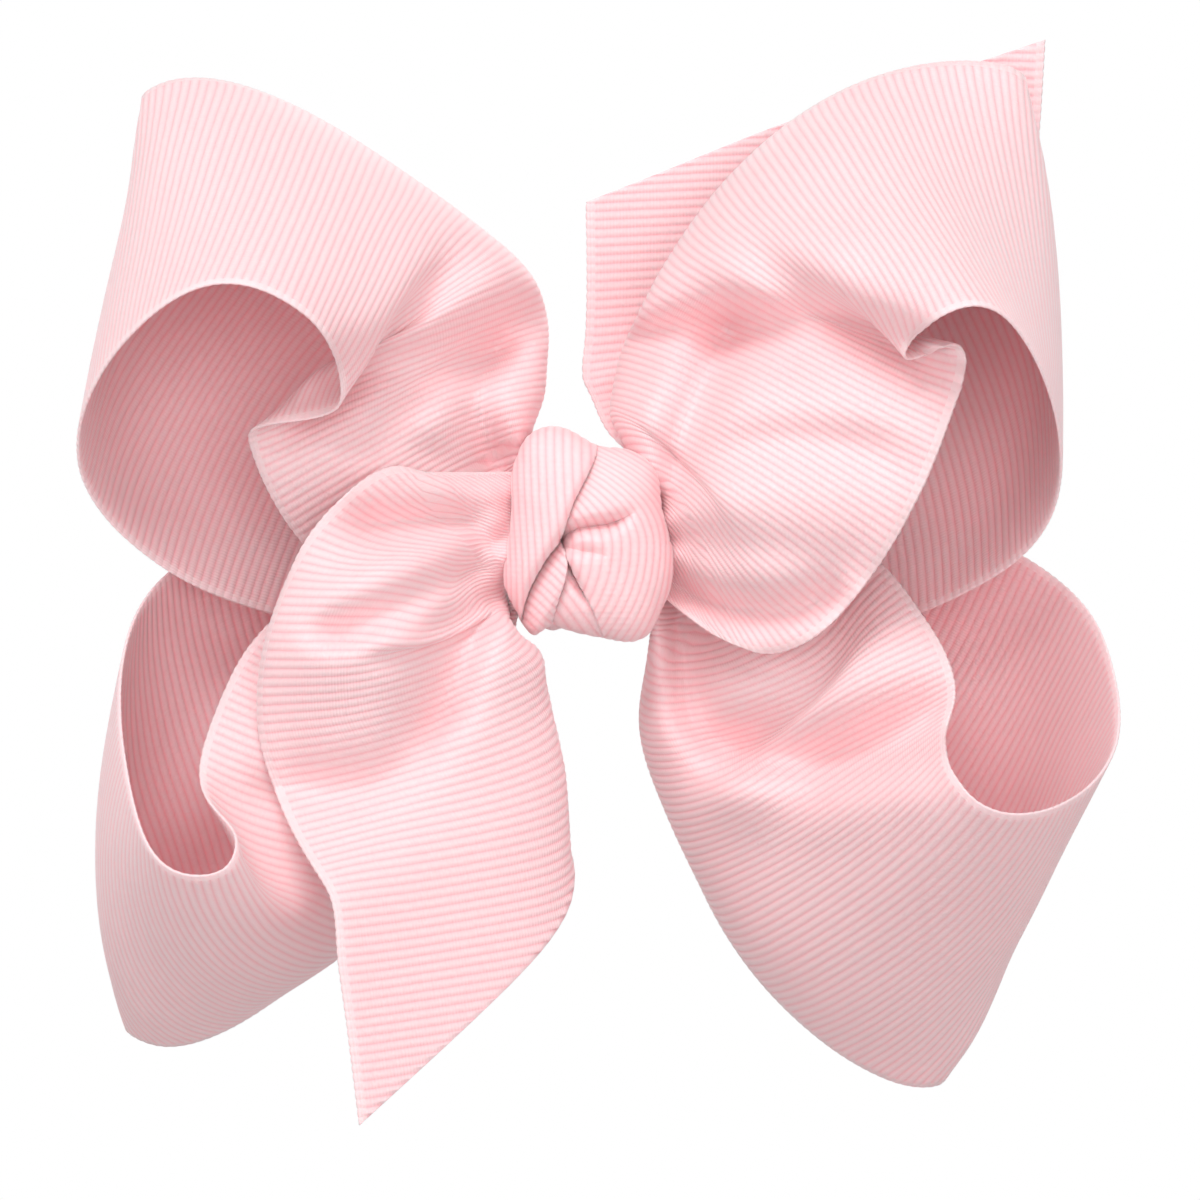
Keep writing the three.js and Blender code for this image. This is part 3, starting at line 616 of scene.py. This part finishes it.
TAIL_FRONT = [
    [
        (-18.5, -26, 7.5), (-16.5, -26.5, 4), (-14.5, -26.5, 0.5), (-13, -24.5, -2.5),
        (-11.5, -21, -5), (-10, -17.5, -7), (-9.5, -16, -9),
    ],
    [
        (-27, -31, 3.5), (-22.5, -32, -1), (-18, -31.5, -4.5), (-15, -28, -6.5),
        (-11.5, -24, -8), (-9.5, -18, -9), (-10, -16, -10.5),
    ],
    [
        (-34, -33, -5.5), (-28, -36, -8), (-22, -35, -10), (-16.5, -31, -10.5),
        (-11.5, -26, -9.5), (-9, -18.5, -10.5), (-10.5, -17, -12),
    ],
    [
        (-38.5, -31, -14), (-31.5, -35.5, -14.5), (-24, -35, -15), (-16.5, -31, -14),
        (-9.5, -26, -12.5), (-8.5, -19, -12), (-11, -18, -13.5),
    ],
    [
        (-38.5, -29.5, -28), (-31.5, -32, -27), (-22.5, -32.5, -24.5), (-12.5, -29, -20),
        (-4.5, -22, -16.5), (-7.5, -20, -15), (-13, -19, -16.5),
    ],
    [
        (-31, -37, -41.5), (-23.5, -34, -37.5), (-15, -31, -34), (-5, -27, -28),
        (-3, -20, -23), (-9, -19, -20), (-15, -19, -19.5),
    ],
    [
        (-29.5, -39, -49), (-21.5, -35, -45), (-13, -31, -40), (-3.5, -26, -33.5),
        (-2.5, -20, -27.5), (-9.5, -19, -23), (-16.5, -19, -21.5),
    ],
    [
        (-27.5, -41, -70.5), (-19, -37, -63), (-10.5, -32, -56), (-3, -27, -47.5),
        (-2, -20, -38), (-10, -20, -30.5), (-19, -20, -24.5),
    ],
]
TAIL_BACK = [
    [(3, -1, 11.5), (11, -2, 7), (16.5, -2, 3.5), (20.5, -2, -3)],
    [(0.5, 3, 17), (16.5, 1.2, 15), (26, 0, 12.5), (40.5, -1, 7)],
    [(-1, 5, 22), (20, 4.2, 23.5), (31, 3, 23.5), (51, 2, 21.5)],
    [(-1.5, 5, 29), (21.5, 5, 34), (33, 4.5, 35.5), (56, 3, 37)],
    [(-1.5, 4, 41), (22, 5.5, 50.5), (34.5, 4.5, 54.5), (58, 2.5, 62)],
]

# ---- materials ----
class Nodes:
    """A material's node tree, with short names for what the materials below use."""

    def __init__(self, name):
        self.material = bpy.data.materials.new(name)
        self.material.use_nodes = True
        self.tree = self.material.node_tree
        self.shader = self.tree.nodes["Principled BSDF"]

    def set(self, **values):
        for name, value in values.items():
            self.shader.inputs[name.replace("_", " ")].default_value = value

    def link(self, source, socket):
        self.tree.links.new(source, socket)

    def add(self, kind, **settings):
        node = self.tree.nodes.new("ShaderNode" + kind)
        for name, value in settings.items():
            setattr(node, name, value)
        return node

    def math(self, operation, *values):
        node = self.add("Math", operation=operation)
        for socket, value in zip(node.inputs, values):
            if isinstance(value, (int, float)):
                socket.default_value = value
            else:
                self.link(value, socket)
        return node.outputs[0]

    def noise(self, vector, scale, detail=2.0):
        node = self.add("TexNoise")
        self.link(vector, node.inputs["Vector"])
        node.inputs["Scale"].default_value = scale
        node.inputs["Detail"].default_value = detail
        return node.outputs["Fac"]

    def mix(self, share, first, second):
        node = self.add("Mix", data_type="RGBA")
        self.link(share, node.inputs["Factor"])
        for socket, value in ((node.inputs[6], first), (node.inputs[7], second)):
            if isinstance(value, tuple):
                socket.default_value = (*value, 1)
            else:
                self.link(value, socket)
        return node.outputs[2]

    def bump(self, height, strength, distance):
        node = self.add("Bump")
        node.inputs["Strength"].default_value = strength
        node.inputs["Distance"].default_value = distance
        self.link(height, node.inputs["Height"])
        self.link(node.outputs["Normal"], self.shader.inputs["Normal"])


RIB_TOP = (0.97, 0.7, 0.715)
# painted shade: the darker, pinker colour put in the grooves between the ribs
RIB_GROOVE_PAINTED_SHADE = (0.96, 0.48, 0.515)
SELVAGE_PINK = (0.97, 0.68, 0.695)
GLUE_DARK = (0.86, 0.83, 0.74)
GLUE_PALE = (0.95, 0.93, 0.87)
THREAD_SHADE = (0.82, 0.52, 0.55)
THREAD_PINK = (0.95, 0.74, 0.76)
YARN_PITCH = 0.42


def grosgrain(name):
    """Ribbed ribbon: pale ribs with painted shade in the pinker grooves, fine lengthwise yarns and a plain
    selvage.
    """
    n = Nodes(name)
    flat = n.add("UVMap", uv_map="flat").outputs["UV"]
    split = n.add("SeparateXYZ")
    n.link(flat, split.inputs[0])
    ribs, across = split.outputs[0], split.outputs[1]
    wave = n.math("ABSOLUTE", n.math("COSINE", n.math("MULTIPLY", ribs, math.pi)))
    top = n.math("POWER", wave, 0.7)
    yarn = n.math("COSINE", n.math("MULTIPLY", across, 2 * math.pi * WIDTH / YARN_PITCH))
    grain = n.add("Mapping")
    grain.inputs["Scale"].default_value = (1.2, 170, 1)
    n.link(flat, grain.inputs["Vector"])
    fleck = n.noise(grain.outputs["Vector"], 1.0, 3.0)
    cloud_map = n.add("Mapping")
    cloud_map.inputs["Scale"].default_value = (0.03, 2.2, 1)
    n.link(flat, cloud_map.inputs["Vector"])
    cloud = n.noise(cloud_map.outputs["Vector"], 1.0, 2.0)
    edge = n.math("MINIMUM", across, n.math("SUBTRACT", 1.0, across))
    inside = n.math("GREATER_THAN", edge, SELVAGE * 0.8 / WIDTH)
    # the colour mixes the pale rib tops with painted shade in the grooves, plus random flecks and clouds of
    # tone
    share = n.math("ADD", n.math("MULTIPLY", top, 0.8), n.math("MULTIPLY", fleck, 0.35))
    share = n.math("ADD", share, n.math("MULTIPLY", cloud, 0.12))
    share = n.math("MINIMUM", n.math("SUBTRACT", share, 0.14), 1.0)
    painted_shade_and_tone = n.mix(share, RIB_GROOVE_PAINTED_SHADE, RIB_TOP)
    colour = n.mix(inside, SELVAGE_PINK, painted_shade_and_tone)
    n.link(colour, n.shader.inputs["Base Color"])
    rough = n.math("ADD", n.math("MULTIPLY", fleck, 0.2), 0.5)
    n.link(rough, n.shader.inputs["Roughness"])
    height = n.math("ADD", n.math("MULTIPLY", yarn, 0.14), n.math("MULTIPLY", fleck, 0.6))
    height = n.math("ADD", height, n.math("MULTIPLY", top, 0.5))
    n.bump(height, 0.5, 0.00012)
    n.set(Sheen_Weight=0.32, Sheen_Roughness=0.4, Specular_IOR_Level=0.5)
    n.shader.inputs["Sheen Tint"].default_value = (1.0, 0.98, 0.98, 1)
    n.shader.inputs["Subsurface Weight"].default_value = 0.5
    n.shader.inputs["Subsurface Radius"].default_value = (1.0, 0.5, 0.55)
    n.shader.inputs["Subsurface Scale"].default_value = 0.0008
    return n.material


def metal(name, colour, roughness, scratch):
    """Plated metal with fine rolled scratches and slightly uneven shine."""
    n = Nodes(name)
    place = n.add("TexCoord").outputs["Object"]
    drawn = n.add("Mapping")
    drawn.inputs["Scale"].default_value = (300, 9000, 9000)
    n.link(place, drawn.inputs["Vector"])
    line = n.noise(drawn.outputs["Vector"], 1.0, 3.0)
    spot = n.noise(place, 420.0, 2.0)
    dark = tuple(c * 0.82 for c in colour)
    share = n.math("ADD", n.math("MULTIPLY", spot, 0.7), 0.2)
    n.link(n.mix(share, dark, colour), n.shader.inputs["Base Color"])
    rough = n.math("ADD", n.math("MULTIPLY", line, scratch), roughness)
    n.link(rough, n.shader.inputs["Roughness"])
    n.set(Metallic=1.0)
    n.bump(line, 0.15, 0.00002)
    return n.material


def glue_material():
    n = Nodes("cured_glue")
    place = n.add("TexCoord").outputs["Object"]
    cloud = n.noise(place, 900.0, 3.0)
    n.link(n.mix(cloud, GLUE_DARK, GLUE_PALE), n.shader.inputs["Base Color"])
    n.set(Roughness=0.35, Transmission_Weight=0.35, IOR=1.45)
    n.bump(cloud, 0.3, 0.0001)
    return n.material


def thread_material():
    n = Nodes("waxed_thread")
    place = n.add("TexCoord").outputs["Object"]
    twist = n.add("TexWave", wave_type="BANDS", bands_direction="DIAGONAL")
    n.link(place, twist.inputs["Vector"])
    twist.inputs["Scale"].default_value = 2600.0
    colour = n.mix(twist.outputs["Fac"], THREAD_SHADE, THREAD_PINK)
    n.link(colour, n.shader.inputs["Base Color"])
    n.set(Roughness=0.5)
    n.bump(twist.outputs["Fac"], 0.6, 0.00005)
    return n.material


RIBBON = grosgrain("pink_grosgrain")
NICKEL = metal("nickel_plate", (0.8, 0.8, 0.79), 0.16, 0.18)
PIN_NICKEL = metal("pin_plate", (0.74, 0.74, 0.74), 0.22, 0.15)
STEEL = metal("spring_steel", (0.58, 0.59, 0.61), 0.28, 0.2)


# ---- ribbon spans ----
def place_ribbon(piece, node):
    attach(piece, "bow")
    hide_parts(node)


def add_span(name, side, stations, front, back=None):
    """One span of the main ribbon. A loop comes back to the gather, and a tail doesn't."""
    grid, along, across = relaxed_span(stations, side, front, back, FOLDS[name])
    along = along + RIB_LEAD.get(name, 0.0) * (across / WIDTH) ** 1.5
    piece = ribbon_piece("ribbon_" + name, grid, along, across, RIBBON)
    place_ribbon(piece, name)


add_span("loop_upper_left", -1, LOOP_UPPER_LEFT, *LAYERS["upper"])
add_span("loop_upper_right", 1, LOOP_UPPER_RIGHT, *LAYERS["upper"])
add_span("loop_lower_left", -1, LOOP_LOWER_LEFT, *LAYERS["lower"])
add_span("loop_lower_right", 1, LOOP_LOWER_RIGHT, *LAYERS["lower"])
add_span("tail_front", -1, TAIL_FRONT, (5, GATHER_TOP, GATHER_DROP))
add_span("tail_back", 1, TAIL_BACK, (0, GATHER_TOP, GATHER_DROP))

# ---- tied knot ----
KNOT_FRONT = 25.0
KNOT_RIM = 17.5
KNOT_BACK = 12.0
KNOT_AROUND = 460  # points around the knot
KNOT_FRONT_RINGS = 190  # rings from the middle of its front out to its silhouette
KNOT_BACK_RINGS = 26  # rings from there to its back
KNOT_CENTRE = np.array([-0.4, -0.6])
KNOT_ROUND = 10.6  # the radius that the ribs take its front to have
KNOT_HALF_WIDTH = 10.9
KNOT_OUTLINE = [
    (-7.6, 11.4), (-4.4, 13), (-1.6, 12.2), (1.4, 10.6), (4.2, 10.3), (6.6, 9.3), (8.1, 7.8), (8.8, 4),
    (9.6, 0.5), (10.3, -3), (10, -6.4), (8.8, -9.4), (7.4, -12), (5.8, -12.9), (2.6, -12.7),
    (-0.5, -12.1), (-3, -11.4), (-4.6, -11.1), (-6.6, -12.2), (-7.8, -11), (-8.9, -8.8), (-10.1, -6),
    (-10, -3), (-9.4, 0.6), (-9.2, 4.3), (-9.2, 7.2), (-8.4, 9.8),
]
# Creases run from the meeting point of the strands outwards.
MEET = (-3.35, -0.7)
CREASE_TOP = [(1.2, 10.8), (0.6, 8.6), (-0.7, 5.8), (-2.1, 2.8), MEET]
SLIT_LEFT = [MEET, (-4.7, -2.6), (-6.2, -5), (-7.4, -7.6), (-8, -10)]
SLIT_UPPER = [MEET, (-1.6, 0.4), (0.6, 0.9), (3, 1.3), (5.3, 2.4)]
SLIT_LOWER = [(-3.2, -1.2), (-2.4, -3.2), (-1.3, -5.6), (0.4, -8.8)]
DIMPLE = [(-2.9, -1.6), (-1, -2), (1, -2.4), (2.6, -2.8)]
TUCK_EDGE = [(-3.2, -1.2), (-2.5, -3.6), (-3, -6.4), (-3.9, -9), (-4.4, -11.2)]


CREASES = {
    "top": CREASE_TOP,
    "left": SLIT_LEFT,
    "upper": SLIT_UPPER,
    "lower": SLIT_LOWER,
    "dimple": DIMPLE,
    "tuck": TUCK_EDGE,
}


def knot_form():
    """The knot without its creases: points in rings, and how far each ring faces forward."""
    outline = np.array(KNOT_OUTLINE + KNOT_OUTLINE[:1], float)
    closed = np.concatenate([outline[-4:-1], outline, outline[1:4]])
    knots = arc_length(closed)
    edge = spline(closed, knots, np.linspace(knots[3], knots[-4], KNOT_AROUND, endpoint=False))
    # angle 0 is the middle of the front and a quarter turn is the silhouette
    turn = np.linspace(0, 0.5 * math.pi, KNOT_FRONT_RINGS)
    back_turn = np.linspace(0, 1, KNOT_BACK_RINGS + 1)[1:]
    share = np.concatenate([np.sin(turn) ** 0.92, 1 - 0.09 * back_turn**2])
    front_depth = KNOT_RIM + (KNOT_FRONT - KNOT_RIM) * np.cos(turn) ** 0.62
    depth = np.concatenate([front_depth, KNOT_RIM + (KNOT_BACK - KNOT_RIM) * back_turn])
    ring = KNOT_CENTRE + (edge - KNOT_CENTRE)[None] * share[:, None, None]
    x, z = ring[..., 0], ring[..., 1]
    y = -np.broadcast_to(depth[:, None], x.shape).copy()
    facing = np.concatenate([np.cos(turn) ** 0.35, np.zeros(KNOT_BACK_RINGS)])[:, None]
    return x, y, z, facing


def left_of(line, x, z, count=60):
    return beside(smooth_line(line, count), x, z)[1] < 0


def knot_strands(x, z):
    """Which part of the front each strand covers: A on the left, the tuck and wedge below, B beside."""
    a_edge = [(2.4, 15), *CREASE_TOP[:-1], *SLIT_LEFT, (-8.6, -14)]
    below = z < MEET[1]
    strand_a = left_of(a_edge, x, z, 120)
    tuck = ~strand_a & left_of([*TUCK_EDGE, (-4.8, -14)], x, z) & below
    wedge = ~strand_a & ~tuck & left_of([*SLIT_LOWER, (2.4, -14)], x, z) & below
    return strand_a, tuck, wedge, ~strand_a & ~tuck & ~wedge


def knot_creases(x, z, strand_a, tuck, wedge, strand_b):
    """How far the creases sink into the front, less what swells up beside them."""
    far = {key: beside(smooth_line(line), x, z) for key, line in CREASES.items()}

    def dip(key, deep, wide, which, fade_from=1.0):
        distance, _, along = far[key]
        value = deep * np.exp(-((distance / wide) ** 1.4))
        value *= np.clip((1 - along) / max(1 - fade_from, 1e-3), 0, 1) if fade_from < 1 else 1
        return value * which

    def puff(key, high, wide, which):
        distance = far[key][0]
        return high * (distance / wide) * np.exp(1 - distance / wide) * which

    inward = np.zeros(x.shape)
    inward += dip("top", 1.5, 1.1, ~strand_a) + dip("top", 0.5, 0.35, strand_a)
    inward += dip("left", 2.4, 1.0, ~strand_a) + dip("left", 1.0, 0.5, strand_a)
    inward += dip("upper", 2.6, 0.8, strand_b, 0.75) - puff("upper", 0.5, 1.6, strand_b)
    inward += dip("lower", 2.0, 0.8, wedge, 0.7) + dip("lower", 1.0, 0.45, strand_b, 0.7)
    inward += dip("dimple", 1.4, 0.7, strand_b, 0.4)
    inward += dip("tuck", 0.9, 0.7, wedge) + 0.7 * tuck + 0.9 * wedge
    inward -= puff("left", 0.5, 2.2, strand_a) + puff("top", 0.35, 2.0, strand_a)
    return inward


def knot_mesh():
    x, y, z, facing = knot_form()
    strand_a, tuck, wedge, strand_b = knot_strands(x, z)
    y += knot_creases(x, z, strand_a, tuck, wedge, strand_b) * facing

    # where each strand's surface lies along its own ribbon, and roughly across it. Ribs of strands
    # A and B follow the distance over the rounded front, so that they don't crowd at the sides
    round_x = KNOT_ROUND * np.arcsin(np.clip(x / KNOT_HALF_WIDTH, -1, 1))
    ribs_a = round_x + 0.1 * (z - 4) + 0.012 * (z - 1) ** 2 * np.sign(1 - z) * 0.4
    lift = z + 1.6
    ribs_b = round_x * 0.94 + np.where(lift > 0, 0.085, 0.035) * lift**2
    ribs_c = 1.25 * (0.68 * x + 0.73 * z)
    ribs_d = 0.95 * (0.8 * x + 0.6 * z)
    u = np.select([strand_a, tuck, wedge], [ribs_a, ribs_c, ribs_d], ribs_b)
    v = np.select([strand_a, tuck, wedge], [z, x - z, x - z], z)
    points = np.stack([x, y, z], -1)
    normal = -normals_of(points)
    relief = rib_profile(u) * RIB_HEIGHT
    points += normal * relief[..., None]
    flat_points = points.reshape(-1, 3)
    middle = np.array([[KNOT_CENTRE[0], y[0].mean(), KNOT_CENTRE[1]]])
    rear = np.array([[KNOT_CENTRE[0], -KNOT_BACK, KNOT_CENTRE[1]]])
    # the first ring has no size, so one point stands for it
    flat_points = np.concatenate([flat_points[KNOT_AROUND:], middle, rear])
    rows = len(x) - 1
    index = np.arange(rows * KNOT_AROUND).reshape(rows, KNOT_AROUND)
    following = np.roll(index, -1, axis=1)
    faces = tube_quads(index)
    tip, base = index.size, index.size + 1
    faces += [[tip, index[0, i], following[0, i]] for i in range(KNOT_AROUND)]
    faces += [[base, following[-1, i], index[-1, i]] for i in range(KNOT_AROUND)]
    uv = np.stack([u / RIB_PITCH, 0.5 + v / WIDTH * 0.6], -1).reshape(-1, 2)
    uv = np.concatenate([uv[KNOT_AROUND:], uv[:1], uv[-1:]])
    return make_mesh("tied_knot", flat_points, faces, uv, RIBBON)


knot = knot_mesh()
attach(knot, "bow")
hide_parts("center_knot")


# ---- the knot's ends and the pleated core ----
WRAP_HALF = 5.3
WRAP_WAVE = 0.12
WRAP_POINTS = 11  # across a knot end, before the loft
WRAP_GRID = (60, 30)
THREAD_SPACE = 1.3
WRAP_SPACE = 0.6


def wrap_end(name, node, sign, inner):
    """One end of the knot's ribbon, folded lengthwise, from the knot round to the clip's back."""
    middle = inner + 0.4
    path = [(-16.5, middle - 0.6), (-12, middle), (-7, middle), (-1.8, middle), (0.2, middle - 0.7)]
    path += [(0.75, middle - 2.2), (0.8, middle - 5), (0.8, 0.5)]
    rows = []
    for y, z in path:
        row = []
        for k in range(WRAP_POINTS):
            across = -1 + 2 / (WRAP_POINTS - 1) * k
            wave = WRAP_WAVE * math.cos(5 * math.pi * across)
            if y > 0:
                row.append((across * WRAP_HALF, y + wave, sign * z))
            else:
                row.append((across * WRAP_HALF, y, sign * (z + wave)))
        rows.append(row[:: int(sign)])
    grid = loft(rows, *WRAP_GRID)
    columns = WRAP_GRID[1]
    along = np.repeat(arc_length(grid[:, columns // 2])[:, None], columns, axis=1)
    across = np.broadcast_to(np.linspace(0, WIDTH * 0.2, columns), along.shape).copy()
    piece = ribbon_piece(name, grid, along, across, RIBBON)
    place_ribbon(piece, node)


wrap_end("knot_wrap_upper", "knot_end_upper", 1.0, GATHER_TOP + THREAD_SPACE + WRAP_SPACE)
wrap_end("knot_wrap_lower", "knot_end_lower", -1.0, -GATHER_DROP + THREAD_SPACE + WRAP_SPACE)


def pleated_core():
    """The crossings in the middle: a bundle of pleats that runs along X between the spans."""
    low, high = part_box("pleated_core")
    x0, y0, z0 = (c / MM for c in low)
    x1, y1, z1 = (c / MM for c in high)
    steps, along_steps = 260, 90
    angle = np.linspace(0, 2 * math.pi, steps, endpoint=False)
    root = np.sign(np.cos(angle)) * np.sqrt(np.abs(np.cos(angle)))
    rise = np.sign(np.sin(angle)) * np.sqrt(np.abs(np.sin(angle)))
    dip = 0.06 * (1 - np.cos(22 * angle)) / 2
    grid = []
    for i in range(along_steps + 1):
        t = i / along_steps
        x = x0 + 0.1 + (x1 - x0 - 0.2) * t
        waist = 1 - 0.05 * math.sin(math.pi * t)
        rib = 0.12 * rib_profile(np.full(steps, x))
        y = (y0 + y1) / 2 + ((y1 - y0) / 2 * (1 - dip) * waist - 0.15 + rib * 0.5) * root
        z = (z0 + z1) / 2 + ((z1 - z0) / 2 * (1 - dip) * waist - 0.15 + rib * 0.5) * rise
        grid.append(np.stack([np.full(steps, x), y, z], 1))
    grid = np.array(grid)
    points = grid.reshape(-1, 3)
    faces = capped_tube(np.arange(len(points)).reshape(along_steps + 1, steps))
    uv = np.stack([points[:, 0] / RIB_PITCH, 0.5 + points[:, 2] / WIDTH], 1)
    piece = make_mesh("gathered_pleats", points, faces, uv, RIBBON)
    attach(piece, "bow")
    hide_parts("pleated_core")


pleated_core()

# ---- torsion spring: one leg lies along the fixed jaw and the other bends to the height of the moving jaw ----
PIN_X = 13.0
PIN_Y = 3.6
SPRING_WIRE = 0.7
SPRING_RADIUS = 1.5
SPRING_TURNS = 3.5
SPRING_PITCH = 1.05
SPRING_LEG = 9.0
SPRING_SIDES = 14
FIXED_LEG_Y = 0.7
MOVING_LEG_Y = 7.9


def leg_route(coil_y, end_y, z, shares):
    """A leg along X. It leaves the coil level, and its outer part bends to the height of its jaw."""
    route = []
    for share in shares:
        bend = (end_y - coil_y) * max(0.0, share * 1.5 - 0.5)
        route.append((PIN_X + SPRING_LEG * share, coil_y + bend, z))
    return route


def torsion_spring():
    half = SPRING_TURNS * SPRING_PITCH / 2
    route = leg_route(PIN_Y - SPRING_RADIUS, FIXED_LEG_Y, -half, np.linspace(1, 0.1, 24))
    for angle in np.linspace(0, 2 * math.pi * SPRING_TURNS, 140):
        x = PIN_X - SPRING_RADIUS * math.sin(angle)
        y = PIN_Y - SPRING_RADIUS * math.cos(angle)
        route.append((x, y, -half + SPRING_PITCH * angle / (2 * math.pi)))
    route += leg_route(PIN_Y + SPRING_RADIUS, MOVING_LEG_Y, half, np.linspace(0.1, 1, 24))
    route = np.array(route)
    forward = np.gradient(route, axis=0)
    forward /= np.linalg.norm(forward, axis=1, keepdims=True)
    upward = np.array([0.0, 0.0, 1.0]) - forward * forward[:, 2:]
    upward /= np.linalg.norm(upward, axis=1, keepdims=True)
    outward = np.cross(forward, upward)
    turn = np.linspace(0, 2 * math.pi, SPRING_SIDES, endpoint=False)[None, :, None]
    rings = np.cos(turn) * outward[:, None] + np.sin(turn) * upward[:, None]
    points = (route[:, None] + rings * SPRING_WIRE / 2).reshape(-1, 3)
    index = np.arange(len(points)).reshape(len(route), SPRING_SIDES)
    faces = tube_quads(index[:, ::-1]) + [index[0].tolist(), index[-1][::-1].tolist()]
    uv = np.zeros((len(points), 2))
    piece = make_mesh("torsion_spring", points, faces, uv, STEEL)
    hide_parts("clip_spring")
    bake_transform(piece)


torsion_spring()

# ---- CAD pieces that stay, with their finishes ----
FINISHES = {
    "binding_thread": thread_material(),
    "glue_bead_left": glue_material(),
    "glue_bead_right": glue_material(),
    "clip_top_jaw": NICKEL,
    "clip_lower_jaw": NICKEL,
    "clip_pin": PIN_NICKEL,
}
for node, finish in FINISHES.items():
    for material_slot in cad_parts[node].material_slots:
        material_slot.material = finish

# ---- camera, light and floor ----
CAMERA_LENS = 218.5
CAMERA_PLACE = (1.46 * MM, -0.9, -8 * MM)

camera_data = bpy.data.cameras.new("camera")
camera_data.lens = CAMERA_LENS
camera_data.sensor_width = 36
camera_data.clip_end = 10
camera = bpy.data.objects.new("camera", camera_data)
camera.location = CAMERA_PLACE
camera.rotation_euler = (math.pi / 2, 0, 0)
bpy.context.scene.collection.objects.link(camera)
bpy.context.scene.camera = camera


def area_light(name, place, target, size, power):
    data = bpy.data.lights.new(name, "AREA")
    data.shape = "DISK"
    data.size = size
    data.energy = power
    lamp = bpy.data.objects.new(name, data)
    lamp.location = place
    direction = Vector(target) - Vector(place)
    lamp.rotation_euler = direction.to_track_quat("-Z", "Y").to_euler()
    bpy.context.scene.collection.objects.link(lamp)


area_light("key", (-0.2, -0.62, 0.72), (0, -0.02, 0), 0.5, 4.6)
area_light("front_fill", (0.1, -1.25, -0.05), (0, -0.02, 0), 1.0, 5.8)
area_light("back", (0.15, 0.8, 0.35), (0, 0, 0), 0.7, 2.2)

# the sky is white from the horizon up to SKY_WHITE, and falls to its dim end at SKY_DIM, by the
# height of the direction, and the same below the horizon
SKY_WHITE = 0.14
SKY_DIM = 0.4
SKY_STRENGTH = (1.0, 0.5)


def studio_world():
    world = bpy.data.worlds.new("studio")
    world.use_nodes = True
    sky = world.node_tree
    view = sky.nodes.new("ShaderNodeTexCoord")
    split = sky.nodes.new("ShaderNodeSeparateXYZ")
    sky.links.new(view.outputs["Generated"], split.inputs[0])
    height = sky.nodes.new("ShaderNodeMath")
    height.operation = "ABSOLUTE"
    sky.links.new(split.outputs[2], height.inputs[0])
    fall = sky.nodes.new("ShaderNodeMapRange")
    fall.inputs["From Min"].default_value = SKY_WHITE
    fall.inputs["From Max"].default_value = SKY_DIM
    fall.inputs["To Min"].default_value = SKY_STRENGTH[0]
    fall.inputs["To Max"].default_value = SKY_STRENGTH[1]
    sky.links.new(height.outputs[0], fall.inputs["Value"])
    sky.links.new(fall.outputs["Result"], sky.nodes["Background"].inputs["Strength"])
    sky.nodes["Background"].inputs["Color"].default_value = (1, 1, 1, 1)
    bpy.context.scene.world = world


studio_world()
bpy.context.scene.view_settings.view_transform = "Standard"

FLOOR_Z = -0.16
FLOOR_RADIUS = 0.8
FLOOR_DARK = (0.5, 0.485, 0.485)
FLOOR_PALE = (0.54, 0.525, 0.525)


def floor_material():
    n = Nodes("pale_floor")
    speck = n.noise(n.add("TexCoord").outputs["Object"], 60.0, 4.0)
    n.link(n.mix(speck, FLOOR_DARK, FLOOR_PALE), n.shader.inputs["Base Color"])
    n.set(Roughness=0.7)
    return n.material


bpy.ops.mesh.primitive_circle_add(
    vertices=96, radius=FLOOR_RADIUS, fill_type="NGON", location=(0, 0, FLOOR_Z)
)
floor = bpy.context.object
floor.name = "floor"
floor.data.materials.append(floor_material())
